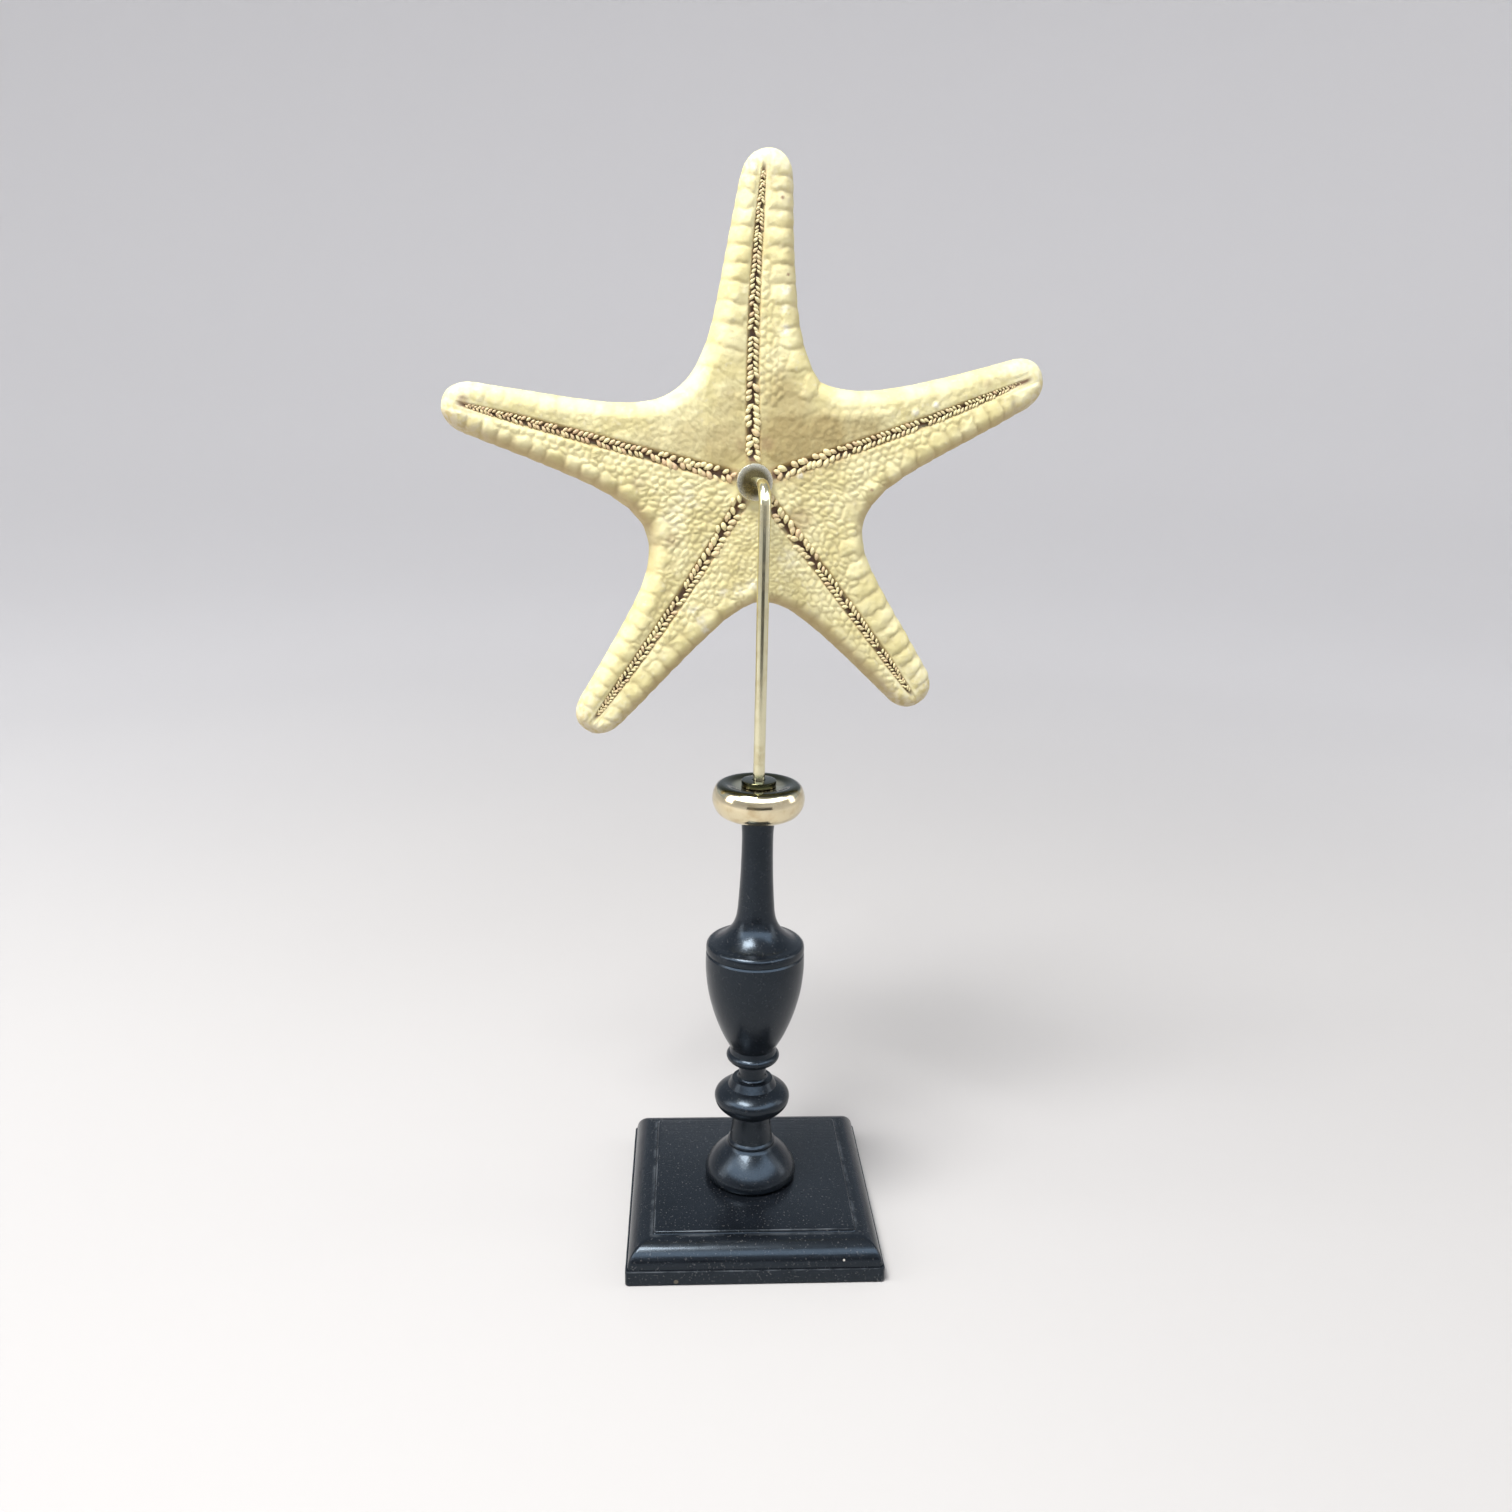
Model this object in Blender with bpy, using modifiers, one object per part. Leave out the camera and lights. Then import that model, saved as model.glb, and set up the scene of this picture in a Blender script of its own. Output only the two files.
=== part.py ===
"""A dried starfish held on a brass rod above a turned, ebonised wooden stand.

The stand is a square moulded base, a turned column and a brass collar. The rod rises from the collar,
bends back and ends in a small disc, which carries the starfish by its mouth, underside to the front.
"""
import math
from collections import namedtuple

import bmesh
import bpy
import numpy as np
from mathutils import Vector, noise

MM = 0.001
GAP = 0.3 * MM

# Base
BASE_WIDTH = 100 * MM
BAND_HEIGHT = 6.2 * MM
BASE_HEIGHT = 16.3 * MM
FLAT_WIDTH = 78.6 * MM
FILLET_WIDTH = 82.4 * MM
FILLET_HEIGHT = 1.3 * MM
BAND_LEDGE = 0.8 * MM
EDGE_EASE = 0.5 * MM
CORNER_RADIUS = 1.4 * MM
MOULDING_STEPS = 4

# Column and collar, heights above the table
TURNED_SEGMENTS = 20
CAP_SEGMENTS = 16
TENON_RADIUS = 6 * MM
TENON_DEPTH = 10 * MM
COLUMN_TOP = 171.9 * MM
COLLAR_TOP = 185.0 * MM
CAP_RADIUS = 6.7 * MM
CAP_HEIGHT = 2.2 * MM

# Rod and its disc
ROD_RADIUS = 2.25 * MM
ROD_BOTTOM = 156 * MM
BEND_RADIUS = 7 * MM
BEND_STEPS = 6
BORE_RADIUS = ROD_RADIUS + GAP
DISC_RADIUS = 7.0 * MM
DISC_THICKNESS = 2.2 * MM
SMALL_EDGE = 0.4 * MM

# Starfish: its place, then its form in millimetres
STAR_HEIGHT = 297.7 * MM
STAR_OFFSET = 22 * MM
STAR_TURN = math.radians(8)

# An arm's direction is in degrees from the right. Its furrow bows aside midway and shifts at the tip.
# The outline stands aside from the furrow by rim_shift as far as midway, and by tip_rim_shift at the tip.
# The gap between this arm and the next one anticlockwise ends notch_reach from the mouth.
Arm = namedtuple("Arm", "direction length bow tip_shift girth rim_shift tip_rim_shift notch_reach")
ARMS = (
    Arm(19.7, 121.0, -0.9, 1.8, 1.02, -0.4, -0.8, 45.4),
    Arm(89.2, 116.0, 1.9, -0.6, 1.00, -2.1, -2.1, 43.6),
    Arm(166.0, 116.3, 0.4, 0.8, 0.95, 0.8, 0.3, 44.4),
    Arm(235.6, 114.8, 2.0, 0.8, 0.99, 2.3, 0.4, 47.0),
    Arm(309.0, 113.0, 0.3, -0.8, 1.02, 0.3, 1.8, 47.9),
)
USUAL_LENGTH = 116.0
DISC_REACH = 36.4
MID_WIDTH = 15.0
MID_REACH = 60.0
ARM_TAPER = 0.119
ROOT_FLARE = 9.0
NOTCH_FLARE = 1.8
TIP_ROUNDING = 10.0
TIP_POWER = 2.2
EDGE_ROUNDING = 6.0
RIM_SHARE = 0.45
TIP_THICKNESS = 11.0
ARM_RISE = 10.0
DISC_RISE = 10.0
MOUTH_RADIUS = 9.0
MOUTH_DEPTH = 0.3
FURROW_DEPTH = 2.2
PLATES = 14
PLATE_ROWS = 3
PLATE_RELIEF = 0.55
PLATE_BAND = 8.0
DISC_ROWS = 5
FRONT_COLUMNS = (-1, -0.86, -0.6, -0.17, 0, 0.17, 0.6, 0.86, 1)
BACK_COLUMNS = (-1, -0.75, -0.2, 0, 0.2, 0.75, 1)
OUTLINE_STEPS = 60


def clear_scene():
    for item in list(bpy.data.objects):
        bpy.data.objects.remove(item, do_unlink=True)


def new_collection(name):
    collection = bpy.data.collections.new(name)
    bpy.context.scene.collection.children.link(collection)
    return collection


def make_material(name, colour, roughness, metallic=0.0):
    material = bpy.data.materials.new(name)
    material.use_nodes = True
    shader = material.node_tree.nodes["Principled BSDF"]
    shader.inputs["Base Color"].default_value = (*colour, 1)
    shader.inputs["Roughness"].default_value = roughness
    shader.inputs["Metallic"].default_value = metallic
    return material


def add_object(name, data, collection, material=None):
    item = bpy.data.objects.new(name, data)
    collection.objects.link(item)
    if material:
        data.materials.append(material)
    return item


def mesh_object(name, shape, collection, material=None):
    """An object made from a finished bmesh, which is freed."""
    mesh = bpy.data.meshes.new(name)
    shape.to_mesh(mesh)
    shape.free()
    return add_object(name, mesh, collection, material)


def shade_smooth(item, angle):
    item.data.shade_smooth()
    item.data.set_sharp_from_angle(angle=math.radians(angle))


def turned(name, profile, collection, material, closed=False, segments=TURNED_SEGMENTS):
    """A turned piece from (radius, height) points that run down its outer side."""
    mesh = bpy.data.meshes.new(name)
    count = len(profile)
    edges = [(k, k + 1) for k in range(count - 1)]
    if closed:
        edges.append((count - 1, 0))
    mesh.from_pydata([(radius, 0, height) for radius, height in profile], edges, [])
    item = add_object(name, mesh, collection, material)
    screw = item.modifiers.new("Turn", "SCREW")
    screw.axis = "Z"
    screw.steps = segments
    screw.render_steps = segments
    screw.use_merge_vertices = True
    screw.merge_threshold = 0.00001
    screw.use_smooth_shade = True
    return item


def bulge(height, radius, rise, fall, start, stop, steps):
    """Points down the outer side of a bulge, its angles measured from straight up."""
    points = []
    for step in range(steps + 1):
        angle = math.radians(start + (stop - start) * step / steps)
        reach = rise if math.cos(angle) > 0 else fall
        points.append((radius * math.sin(angle), height + reach * math.cos(angle)))
    return points


def in_metres(points):
    return [(radius * MM, height * MM) for radius, height in points]


def base_levels():
    """Half width and height of each level of the base above its eased lower edge."""
    half = BASE_WIDTH / 2
    flat = FLAT_WIDTH / 2
    fillet = FILLET_WIDTH / 2
    fillet_foot = BASE_HEIGHT - FILLET_HEIGHT
    levels = [(half, EDGE_EASE), (half, BAND_HEIGHT - EDGE_EASE), (half - EDGE_EASE, BAND_HEIGHT)]
    reach = half - BAND_LEDGE - fillet
    rise = fillet_foot - BAND_HEIGHT
    for step in range(MOULDING_STEPS + 1):
        angle = math.radians(90 * step / MOULDING_STEPS)
        levels.append((fillet + reach * math.cos(angle), BAND_HEIGHT + rise * math.sin(angle)))
    levels.append((flat, fillet_foot + 0.2 * MM))
    levels.append((flat, BASE_HEIGHT - SMALL_EDGE))
    levels.append((flat - SMALL_EDGE, BASE_HEIGHT))
    return levels


def build_base(collection, cutters, material):
    """The square base, raised from a thin slab: a plain band, a quarter-round, a fillet and the flat top."""
    shape = bmesh.new()
    bmesh.ops.create_cube(shape, size=1)
    start = BASE_WIDTH - 2 * EDGE_EASE
    thin = 0.1 * MM
    bmesh.ops.scale(shape, vec=(start, start, thin), verts=shape.verts)
    bmesh.ops.translate(shape, vec=(0, 0, thin / 2), verts=shape.verts)
    uprights = [edge for edge in shape.edges if abs(edge.verts[0].co.z - edge.verts[1].co.z) > thin / 2]
    bmesh.ops.bevel(shape, geom=uprights, offset=CORNER_RADIUS, segments=2, profile=0.5, affect="EDGES")
    half, height = start / 2, thin
    for next_half, next_height in base_levels():
        top = max(shape.faces, key=lambda face: face.calc_center_median().z)
        made = bmesh.ops.extrude_face_region(shape, geom=[top])["geom"]
        bmesh.ops.delete(shape, geom=[top], context="FACES_ONLY")
        verts = [element for element in made if isinstance(element, bmesh.types.BMVert)]
        bmesh.ops.scale(shape, vec=(next_half / half, next_half / half, 1), verts=verts)
        bmesh.ops.translate(shape, vec=(0, 0, next_height - height), verts=verts)
        half, height = next_half, next_height
    item = mesh_object("base", shape, collection, material)
    shade_smooth(item, 35)
    hole_floor = BASE_HEIGHT - TENON_DEPTH - GAP
    cutter = drill("tenon_hole", TENON_RADIUS + GAP, hole_floor, BASE_HEIGHT + TENON_DEPTH, cutters)
    cut = item.modifiers.new("Tenon hole", "BOOLEAN")
    cut.operation = "DIFFERENCE"
    cut.object = cutter


def drill(name, radius, bottom, top, collection):
    """A hidden cylinder that cuts a hole."""
    shape = bmesh.new()
    size = {"radius1": radius, "radius2": radius, "depth": top - bottom}
    bmesh.ops.create_cone(shape, cap_ends=True, segments=TURNED_SEGMENTS, **size)
    item = mesh_object(name, shape, collection)
    item.location.z = (top + bottom) / 2
    item.hide_render = True
    item.display_type = "WIRE"
    return item


def column_profile():
    """Down the column: rod hole, neck, urn, bead, knop, bell foot and the tenon in the base."""
    top = COLUMN_TOP / MM
    foot = (BASE_HEIGHT + GAP) / MM
    tenon = TENON_RADIUS / MM
    tenon_end = (BASE_HEIGHT - TENON_DEPTH) / MM
    neck = [(6.75, top), (6.35, 169.0), (6.1, 163.0), (6.42, 149.0), (7.15, 136.5), (7.6, 132.5)]
    shoulder = [(8.2, 130.0), (9.6, 127.0), (12.4, 123.9), (15.6, 121.6), (17.8, 120.9)]
    band = [(18.9, 120.0), (19.5, 118.2), (19.55, 116.9), (19.15, 116.4), (19.55, 115.9)]
    urn = [(19.6, 109.8), (18.95, 102.5), (17.6, 95.5), (15.5, 88.4), (12.6, 81.2), (9.1, 74.4)]
    bead = bulge(70.9, 10.75, 3.6, 4.6, 62, 148, 5)
    knop = [(5.5, 62.0), (6.2, 60.0)] + bulge(52.4, 15.35, 7.4, 9.0, 30, 143, 7)
    bell = [(8.45, 38.0), (8.6, 33.0)] + bulge(17.6, 18.9, 15.8, 1, 32, 90, 5) + [(18.9, foot)]
    joint = [(tenon, foot), (tenon, tenon_end), (0, tenon_end)]
    bore = BORE_RADIUS / MM
    bore_floor = (ROD_BOTTOM - GAP) / MM
    hole = [(0, bore_floor), (bore, bore_floor), (bore, top)]
    return in_metres(hole + neck + shoulder + band + urn + bead + knop + bell + joint)


def collar_profile():
    """The brass collar: a round bun with a dished top and a hole for the rod."""
    top = COLLAR_TOP / MM
    under = (COLUMN_TOP + GAP) / MM
    bore = BORE_RADIUS / MM
    dish = [(bore, top), (9.0, top + 0.1), (13.4, top + 1.2)]
    side = [(15.6, top + 0.7), (17.1, top - 1.2), (17.85, top - 4.6), (17.3, top - 7.6), (15.4, top - 10.6)]
    return in_metres(dish + side + [(12.0, under + 0.3), (9.0, under), (bore, under)])


def cap_profile():
    """The small raised disc that the rod comes out of."""
    low = COLLAR_TOP + GAP
    high = low + CAP_HEIGHT
    eased = [(CAP_RADIUS - SMALL_EDGE, high), (CAP_RADIUS, high - SMALL_EDGE)]
    return [(BORE_RADIUS, high)] + eased + [(CAP_RADIUS, low), (BORE_RADIUS, low)]


def build_rod(collection, material):
    """The rod: straight up out of the column, a quarter bend, and back to the disc."""
    back = Vector((-math.sin(STAR_TURN), math.cos(STAR_TURN), 0))
    up = Vector((0, 0, 1))
    points = [up * ROD_BOTTOM]
    middle = up * (STAR_HEIGHT - BEND_RADIUS) + back * BEND_RADIUS
    for step in range(BEND_STEPS + 1):
        angle = math.radians(90 * step / BEND_STEPS)
        points.append(middle - back * BEND_RADIUS * math.cos(angle) + up * BEND_RADIUS * math.sin(angle))
    reach = STAR_OFFSET - DISC_THICKNESS - GAP
    points.append(up * STAR_HEIGHT + back * reach)
    curve = bpy.data.curves.new("rod", "CURVE")
    curve.dimensions = "3D"
    curve.bevel_depth = ROD_RADIUS
    curve.bevel_resolution = 4
    curve.use_fill_caps = True
    line = curve.splines.new("POLY")
    line.points.add(len(points) - 1)
    for place, point in zip(line.points, points):
        place.co = (*point, 1)
    return add_object("rod", curve, collection, material)


def build_disc(collection, material):
    """The disc on the rod's end, its axis level and square to the starfish."""
    high = DISC_THICKNESS
    inner = DISC_RADIUS - SMALL_EDGE
    rounded = [(inner, high), (DISC_RADIUS, high - SMALL_EDGE), (DISC_RADIUS, SMALL_EDGE), (inner, 0)]
    item = turned("rod_disc", [(0, high)] + rounded + [(0, 0)], collection, material)
    item.rotation_euler = (math.radians(90), 0, STAR_TURN)
    item.location = star_origin()


def star_origin():
    """The point behind the disc where the starfish's mouth lies."""
    return Vector((-math.sin(STAR_TURN) * STAR_OFFSET, math.cos(STAR_TURN) * STAR_OFFSET, STAR_HEIGHT))


def half_width(along, length):
    """Half an arm's width at a distance from the mouth: a taper, a flare to the disc and a round tip."""
    reach = along * USUAL_LENGTH / length
    beyond = reach - DISC_REACH
    flare = ROOT_FLARE * np.exp(-beyond / 9.5) + NOTCH_FLARE * np.exp(-beyond / 3.0)
    tip = np.clip((reach - USUAL_LENGTH + TIP_ROUNDING) / TIP_ROUNDING, 0, 1)
    return (MID_WIDTH - ARM_TAPER * (reach - MID_REACH) + flare) * (1 - tip ** TIP_POWER) ** (1 / TIP_POWER)


def arm_axes(arm):
    direction = math.radians(arm.direction)
    axis = np.array([math.cos(direction), math.sin(direction)])
    return axis, np.array([-axis[1], axis[0]])


def bow(arm, along):
    """How far the arm's furrow leaves a straight line."""
    share = along / arm.length
    return arm.bow * np.sin(math.pi * share) + arm.tip_shift * share ** 4


def rim_shift(arm, along):
    """How far the middle of the outline stands aside from the furrow."""
    outer_half = np.clip(2 * along / arm.length - 1, 0, 1)
    return arm.rim_shift + (arm.tip_rim_shift - arm.rim_shift) * outer_half


def arm_point(arm, along, aside):
    axis, side = arm_axes(arm)
    return np.outer(along, axis) + np.outer(bow(arm, along) + aside, side)


def notch_point(index, sign):
    """The inner end of the gap between this arm and the next one on the given side, and half its angle."""
    arm = ARMS[index]
    other = ARMS[(index + sign) % len(ARMS)]
    reach = arm.notch_reach if sign > 0 else other.notch_reach
    spread = (sign * (other.direction - arm.direction)) % 360
    angle = math.radians(arm.direction + sign * spread / 2)
    return reach * np.array([math.cos(angle), math.sin(angle)]), math.radians(spread / 2)


def plate_fractions(rows_per_plate):
    """Rows along an arm as shares of its free length: the plates grow smaller towards the tip."""
    pitch = np.array([1 - 0.5 * k / (PLATES - 1) for k in range(PLATES)])
    ends = np.concatenate([[0], np.cumsum(pitch)]) / pitch.sum()
    rows = np.arange(PLATES * rows_per_plate + 1) / rows_per_plate
    return np.interp(rows, np.arange(PLATES + 1), ends), rows


def edge_line(index, sign, shares):
    """The star's edge on one side of an arm, from the notch to the tip."""
    arm = ARMS[index]
    notch, half_angle = notch_point(index, sign)
    start = np.linalg.norm(notch) * math.cos(half_angle)
    along = start + (arm.length - start) * shares
    aside = rim_shift(arm, along) + sign * arm.girth * half_width(along, arm.length)
    line = arm_point(arm, along, aside)
    return line + np.outer(np.exp(-(along - start) / 4), notch - line[0])


def star_outline():
    """The whole edge of the star as one ring of points."""
    shares = np.linspace(0, 1, OUTLINE_STEPS)
    ring = []
    for index in range(len(ARMS)):
        ring.append(edge_line(index, -1, shares)[:-1])
        ring.append(edge_line(index, 1, shares)[:0:-1])
    return np.concatenate(ring)


def edge_distance(points, outline):
    """Distance from each point to the star's edge."""
    spans = np.roll(outline, -1, axis=0) - outline
    lengths = (spans ** 2).sum(axis=1)
    best = np.full(len(points), np.inf)
    for start, span, length in zip(outline, spans, lengths):
        share = np.clip((points - start) @ span / length, 0, 1)
        gap = points - start - np.outer(share, span)
        best = np.minimum(best, (gap ** 2).sum(axis=1))
    return np.sqrt(best)


def nearest_arm(points):
    """Distance along the nearest arm and aside from its furrow."""
    along = np.zeros(len(points))
    aside = np.full(len(points), np.inf)
    for arm in ARMS:
        axis, side = arm_axes(arm)
        here = points @ axis
        off = np.abs(points @ side - bow(arm, np.clip(here, 0, arm.length)))
        closer = (here >= -0.001) & (off < aside)
        along = np.where(closer, here, along)
        aside = np.where(closer, off, aside)
    return along, aside


def thickness(along):
    """Front to back through an arm's middle line."""
    return TIP_THICKNESS + ARM_RISE * (1 - along / USUAL_LENGTH) + DISC_RISE * np.exp(-(along / 32) ** 2)


def quarter_round(share):
    inner = 1 - np.clip(share, 0, 1)
    return np.sqrt(1 - inner ** 2)


def lumps(points, size, height, seed):
    """Gentle irregular lumps."""
    return np.array([height * noise.noise(Vector((x / size, y / size, seed))) for x, y in points])


def front_depth(points, edge, plate):
    """Depth of the underside behind its foremost plane: furrow, plates and rounded edge."""
    along, aside = nearest_arm(points)
    rim = RIM_SHARE * thickness(along)
    depth = rim * (1 - quarter_round(edge / EDGE_ROUNDING))
    fade = np.clip((USUAL_LENGTH - along) / 12, 0, 1)
    depth += fade * (FURROW_DEPTH * np.exp(-(aside / 1.6) ** 2) + 0.5 * np.exp(-(aside / 4.5) ** 2))
    depth -= plate * np.clip(2 - edge / (PLATE_BAND / 2), 0, 1)
    reach = np.hypot(points[:, 0], points[:, 1])
    inner = np.clip(edge / 6 - 1, 0, 1) * np.clip(reach / 20 - 0.6, 0.25, 1)
    depth += inner * lumps(points, 3.2, 0.6, 1.0)
    mouth = np.clip((MOUTH_RADIUS + 3 - reach) / 3, 0, 1)
    return np.where(mouth > 0, np.maximum(depth * (1 - mouth), MOUTH_DEPTH), depth)


def back_depth(points, edge, plate):
    """Depth of the upper side: a dome over the disc and arms, with a row of blunt knobs along each arm."""
    along, aside = nearest_arm(points)
    rim = RIM_SHARE * thickness(along)
    width = np.clip(half_width(np.clip(along, 30, 104), USUAL_LENGTH), 0, 20)
    depth = rim + (thickness(along) - rim) * quarter_round(edge / width)
    depth += plate * np.clip(1.4 - edge / 4, 0, 1)
    depth += np.clip(edge / 5 - 0.6, 0, 1) * lumps(points, 4.5, 0.8, 7.0)
    for x, y, height, radius in knobs():
        share = np.clip(1 - np.hypot(points[:, 0] - x, points[:, 1] - y) / radius, 0, 1)
        depth += height * share ** 1.2
    return depth


def knobs():
    """Place, height and radius of the blunt knobs on the upper side: one in the middle, a row on each arm."""
    placed = [(0, 0, 2.5, 4.5)]
    shares = plate_fractions(1)[0]
    for arm in ARMS:
        ladder = [(DISC_REACH * 3 / DISC_ROWS, 6.0, 6.5)]
        for plate in range(1, PLATES - 2, 2):
            fade = plate / PLATES
            along = DISC_REACH + (arm.length - DISC_REACH) * shares[plate]
            ladder.append((along, 4.2 - 2.6 * fade, 5.0 - 1.5 * fade))
        for along, height, radius in ladder:
            x, y = arm_point(arm, np.array([along]), 0)[0]
            placed.append((x, y, height, radius))
    return placed


def plate_relief(rows):
    """Outward swell of the marginal plates: low at their joints, full between them."""
    swell = np.sqrt(np.abs(np.sin(math.pi * rows)))
    return PLATE_RELIEF * (1.6 * swell - 1.0)


def star_sheet(index, columns, depth_of, outline):
    """One face of one arm, as columns of points from the mouth to the tip."""
    arm = ARMS[index]
    shares, plates = plate_fractions(PLATE_ROWS)
    relief = plate_relief(plates)
    relief[-1] = 0
    disc = np.arange(DISC_ROWS) / DISC_ROWS
    along = np.concatenate([DISC_REACH * disc, DISC_REACH + (arm.length - DISC_REACH) * shares])
    to_tip = np.clip((along - arm.length + 12) / 12, 0, 1)
    middle = arm_point(arm, along, arm.tip_rim_shift * to_tip)
    edges = {}
    for sign in (-1, 1):
        notch = notch_point(index, sign)[0]
        line = edge_line(index, sign, shares)
        outward = line - middle[DISC_ROWS:]
        outward /= np.maximum(np.linalg.norm(outward, axis=1), 0.001)[:, None]
        line = line + outward * (0.6 * relief[:, None])
        line[0] = notch
        line[-1] = middle[-1]
        edges[sign] = np.concatenate([np.outer(disc, notch), line])
    swell = np.concatenate([np.zeros(DISC_ROWS), relief])
    grid = []
    for column in columns:
        edge = edges[1 if column >= 0 else -1]
        flat = middle + abs(column) * (edge - middle)
        distance = edge_distance(flat, outline)
        distance[-1] = 0
        depth = depth_of(flat, distance, swell)
        if abs(column) == 1:
            rim_along = nearest_arm(flat)[0]
            depth[DISC_ROWS:] = RIM_SHARE * thickness(rim_along[DISC_ROWS:])
        depth[-1] = RIM_SHARE * thickness(arm.length)
        grid.append(np.column_stack([flat[:, 0], depth, flat[:, 1]]))
    return np.array(grid) * MM


def lay_sheet(shape, places):
    """A flat grid whose points are moved to the places worked out for them."""
    across, down = len(places) - 1, len(places[0]) - 1
    made = bmesh.ops.create_grid(shape, x_segments=across, y_segments=down, size=1)
    for vert in made["verts"]:
        column = round((vert.co.x + 1) / 2 * across)
        row = round((vert.co.y + 1) / 2 * down)
        vert.co = places[column][row]


def build_star(collection, material):
    """The starfish, grown as one piece: each arm has a front and a back sheet, joined at edge and notch."""
    outline = star_outline()
    shape = bmesh.new()
    for index in range(len(ARMS)):
        lay_sheet(shape, star_sheet(index, FRONT_COLUMNS, front_depth, outline))
        lay_sheet(shape, star_sheet(index, BACK_COLUMNS, back_depth, outline))
    bmesh.ops.remove_doubles(shape, verts=shape.verts, dist=0.00001)
    bmesh.ops.dissolve_degenerate(shape, edges=shape.edges, dist=0.00001)
    bmesh.ops.recalc_face_normals(shape, faces=shape.faces)
    item = mesh_object("starfish", shape, collection, material)
    item.location = star_origin()
    item.rotation_euler.z = STAR_TURN
    shade_smooth(item, 60)


def main():
    clear_scene()
    parts = new_collection("starfish_on_stand")
    cutters = new_collection("cutters")
    ebony = make_material("ebonised_wood", (0.02, 0.02, 0.025), 0.3)
    brass = make_material("polished_brass", (0.72, 0.58, 0.30), 0.18, 1.0)
    skin = make_material("dried_skin", (0.80, 0.72, 0.48), 0.75)
    build_base(parts, cutters, ebony)
    turned("column", column_profile(), parts, ebony)
    turned("collar", collar_profile(), parts, brass, closed=True)
    turned("collar_cap", cap_profile(), parts, brass, closed=True, segments=CAP_SEGMENTS)
    build_rod(parts, brass)
    build_disc(parts, brass)
    build_star(parts, skin)


main()
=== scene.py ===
# %% [markdown]
# # A dried starfish on a turned stand
#
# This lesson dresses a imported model: a dried starfish shown underside out, held by its mouth on a bent
# brass rod, above a turned column and a square base of black, ebonised wood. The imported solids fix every
# place and size. Each of them is replaced here by a finer piece that stands in the same space.

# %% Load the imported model
import math
from collections import namedtuple

import bmesh
import bpy
import numpy as np
from mathutils import Matrix, Vector, geometry, kdtree, noise


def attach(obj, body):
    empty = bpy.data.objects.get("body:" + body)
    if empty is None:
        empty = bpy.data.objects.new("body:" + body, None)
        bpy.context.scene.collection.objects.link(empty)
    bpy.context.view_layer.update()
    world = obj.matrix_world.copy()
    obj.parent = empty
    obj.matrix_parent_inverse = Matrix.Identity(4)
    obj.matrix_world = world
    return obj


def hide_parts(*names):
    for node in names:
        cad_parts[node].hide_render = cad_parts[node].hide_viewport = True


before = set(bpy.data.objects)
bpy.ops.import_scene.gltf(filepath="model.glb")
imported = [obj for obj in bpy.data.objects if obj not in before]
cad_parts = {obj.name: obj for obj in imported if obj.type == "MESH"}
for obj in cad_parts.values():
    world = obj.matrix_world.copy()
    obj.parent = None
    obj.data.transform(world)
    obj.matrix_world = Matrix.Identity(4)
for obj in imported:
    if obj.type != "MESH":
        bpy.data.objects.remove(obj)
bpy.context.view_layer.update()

MM = 0.001
print("solids:", ", ".join(sorted(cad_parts)))

# %% [markdown]
# ## The camera
#
# The view of a photograph can be guessed by eye, or worked out. Here it was worked out from the base's
# corners and the turned rings, whose shapes are known: a camera 0.45 m in front of the stand, a little
# above the starfish's mouth, that looks down by 15 degrees. Its lens sees 36 mm of film at 29.4 mm.

# %% Camera
CAMERA_PLACE = Vector((-27.418, -452.414, 321.764)) * MM
CAMERA_RIGHT = Vector((0.99844, -0.05191, 0.02071))
CAMERA_AHEAD = Vector((0.05555, 0.96244, -0.26575))
FILM_MM, FOCAL_PIXELS, PICTURE_PIXELS = 36, 1234.19, 1512
FOCAL_MM = FILM_MM * FOCAL_PIXELS / PICTURE_PIXELS

camera_up = CAMERA_RIGHT.cross(CAMERA_AHEAD).normalized()
camera_turn = Matrix((CAMERA_RIGHT, camera_up, -CAMERA_AHEAD)).transposed().to_4x4()
camera_data = bpy.data.cameras.new("camera")
camera_data.lens = FOCAL_MM
camera_data.sensor_width = FILM_MM
camera_data.clip_start = 0.01
camera = bpy.data.objects.new("camera", camera_data)
camera.matrix_world = Matrix.Translation(CAMERA_PLACE) @ camera_turn
bpy.context.scene.collection.objects.link(camera)
bpy.context.scene.camera = camera
print("lens:", round(FOCAL_MM, 2), "mm")

# %% [markdown]
# ## Modelling by hand, in code
#
# Blender's modelling operators act on whatever is selected, so each step first deselects everything, and
# then selects by place or by facing. These few helpers do that, and they close each piece's work.


# %% Helpers for modelling
def start_piece(name):
    """Name the primitive that was just added, and go into edit mode."""
    piece = bpy.context.object
    piece.name = name
    piece.data.name = name
    bpy.ops.object.mode_set(mode="EDIT")
    bpy.ops.mesh.select_mode(type="VERT")
    return piece


def deselect():
    if bpy.context.mode != "OBJECT":
        bpy.ops.object.mode_set(mode="OBJECT")
    bpy.ops.object.select_all(action="DESELECT")


def pick(kind, test):
    """In edit mode, select just the VERT, EDGE or FACE parts whose middle passes the test."""
    bpy.ops.mesh.select_mode(type=kind)
    bpy.ops.mesh.select_all(action="DESELECT")
    shape = bmesh.from_edit_mesh(bpy.context.edit_object.data)
    if kind == "VERT":
        found = [vert for vert in shape.verts if test(vert.co)]
    elif kind == "EDGE":
        found = [edge for edge in shape.edges if test((edge.verts[0].co + edge.verts[1].co) / 2)]
    else:
        found = [face for face in shape.faces if test(face.calc_center_median())]
    for part in found:
        part.select_set(True)
    bmesh.update_edit_mesh(bpy.context.edit_object.data)


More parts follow.
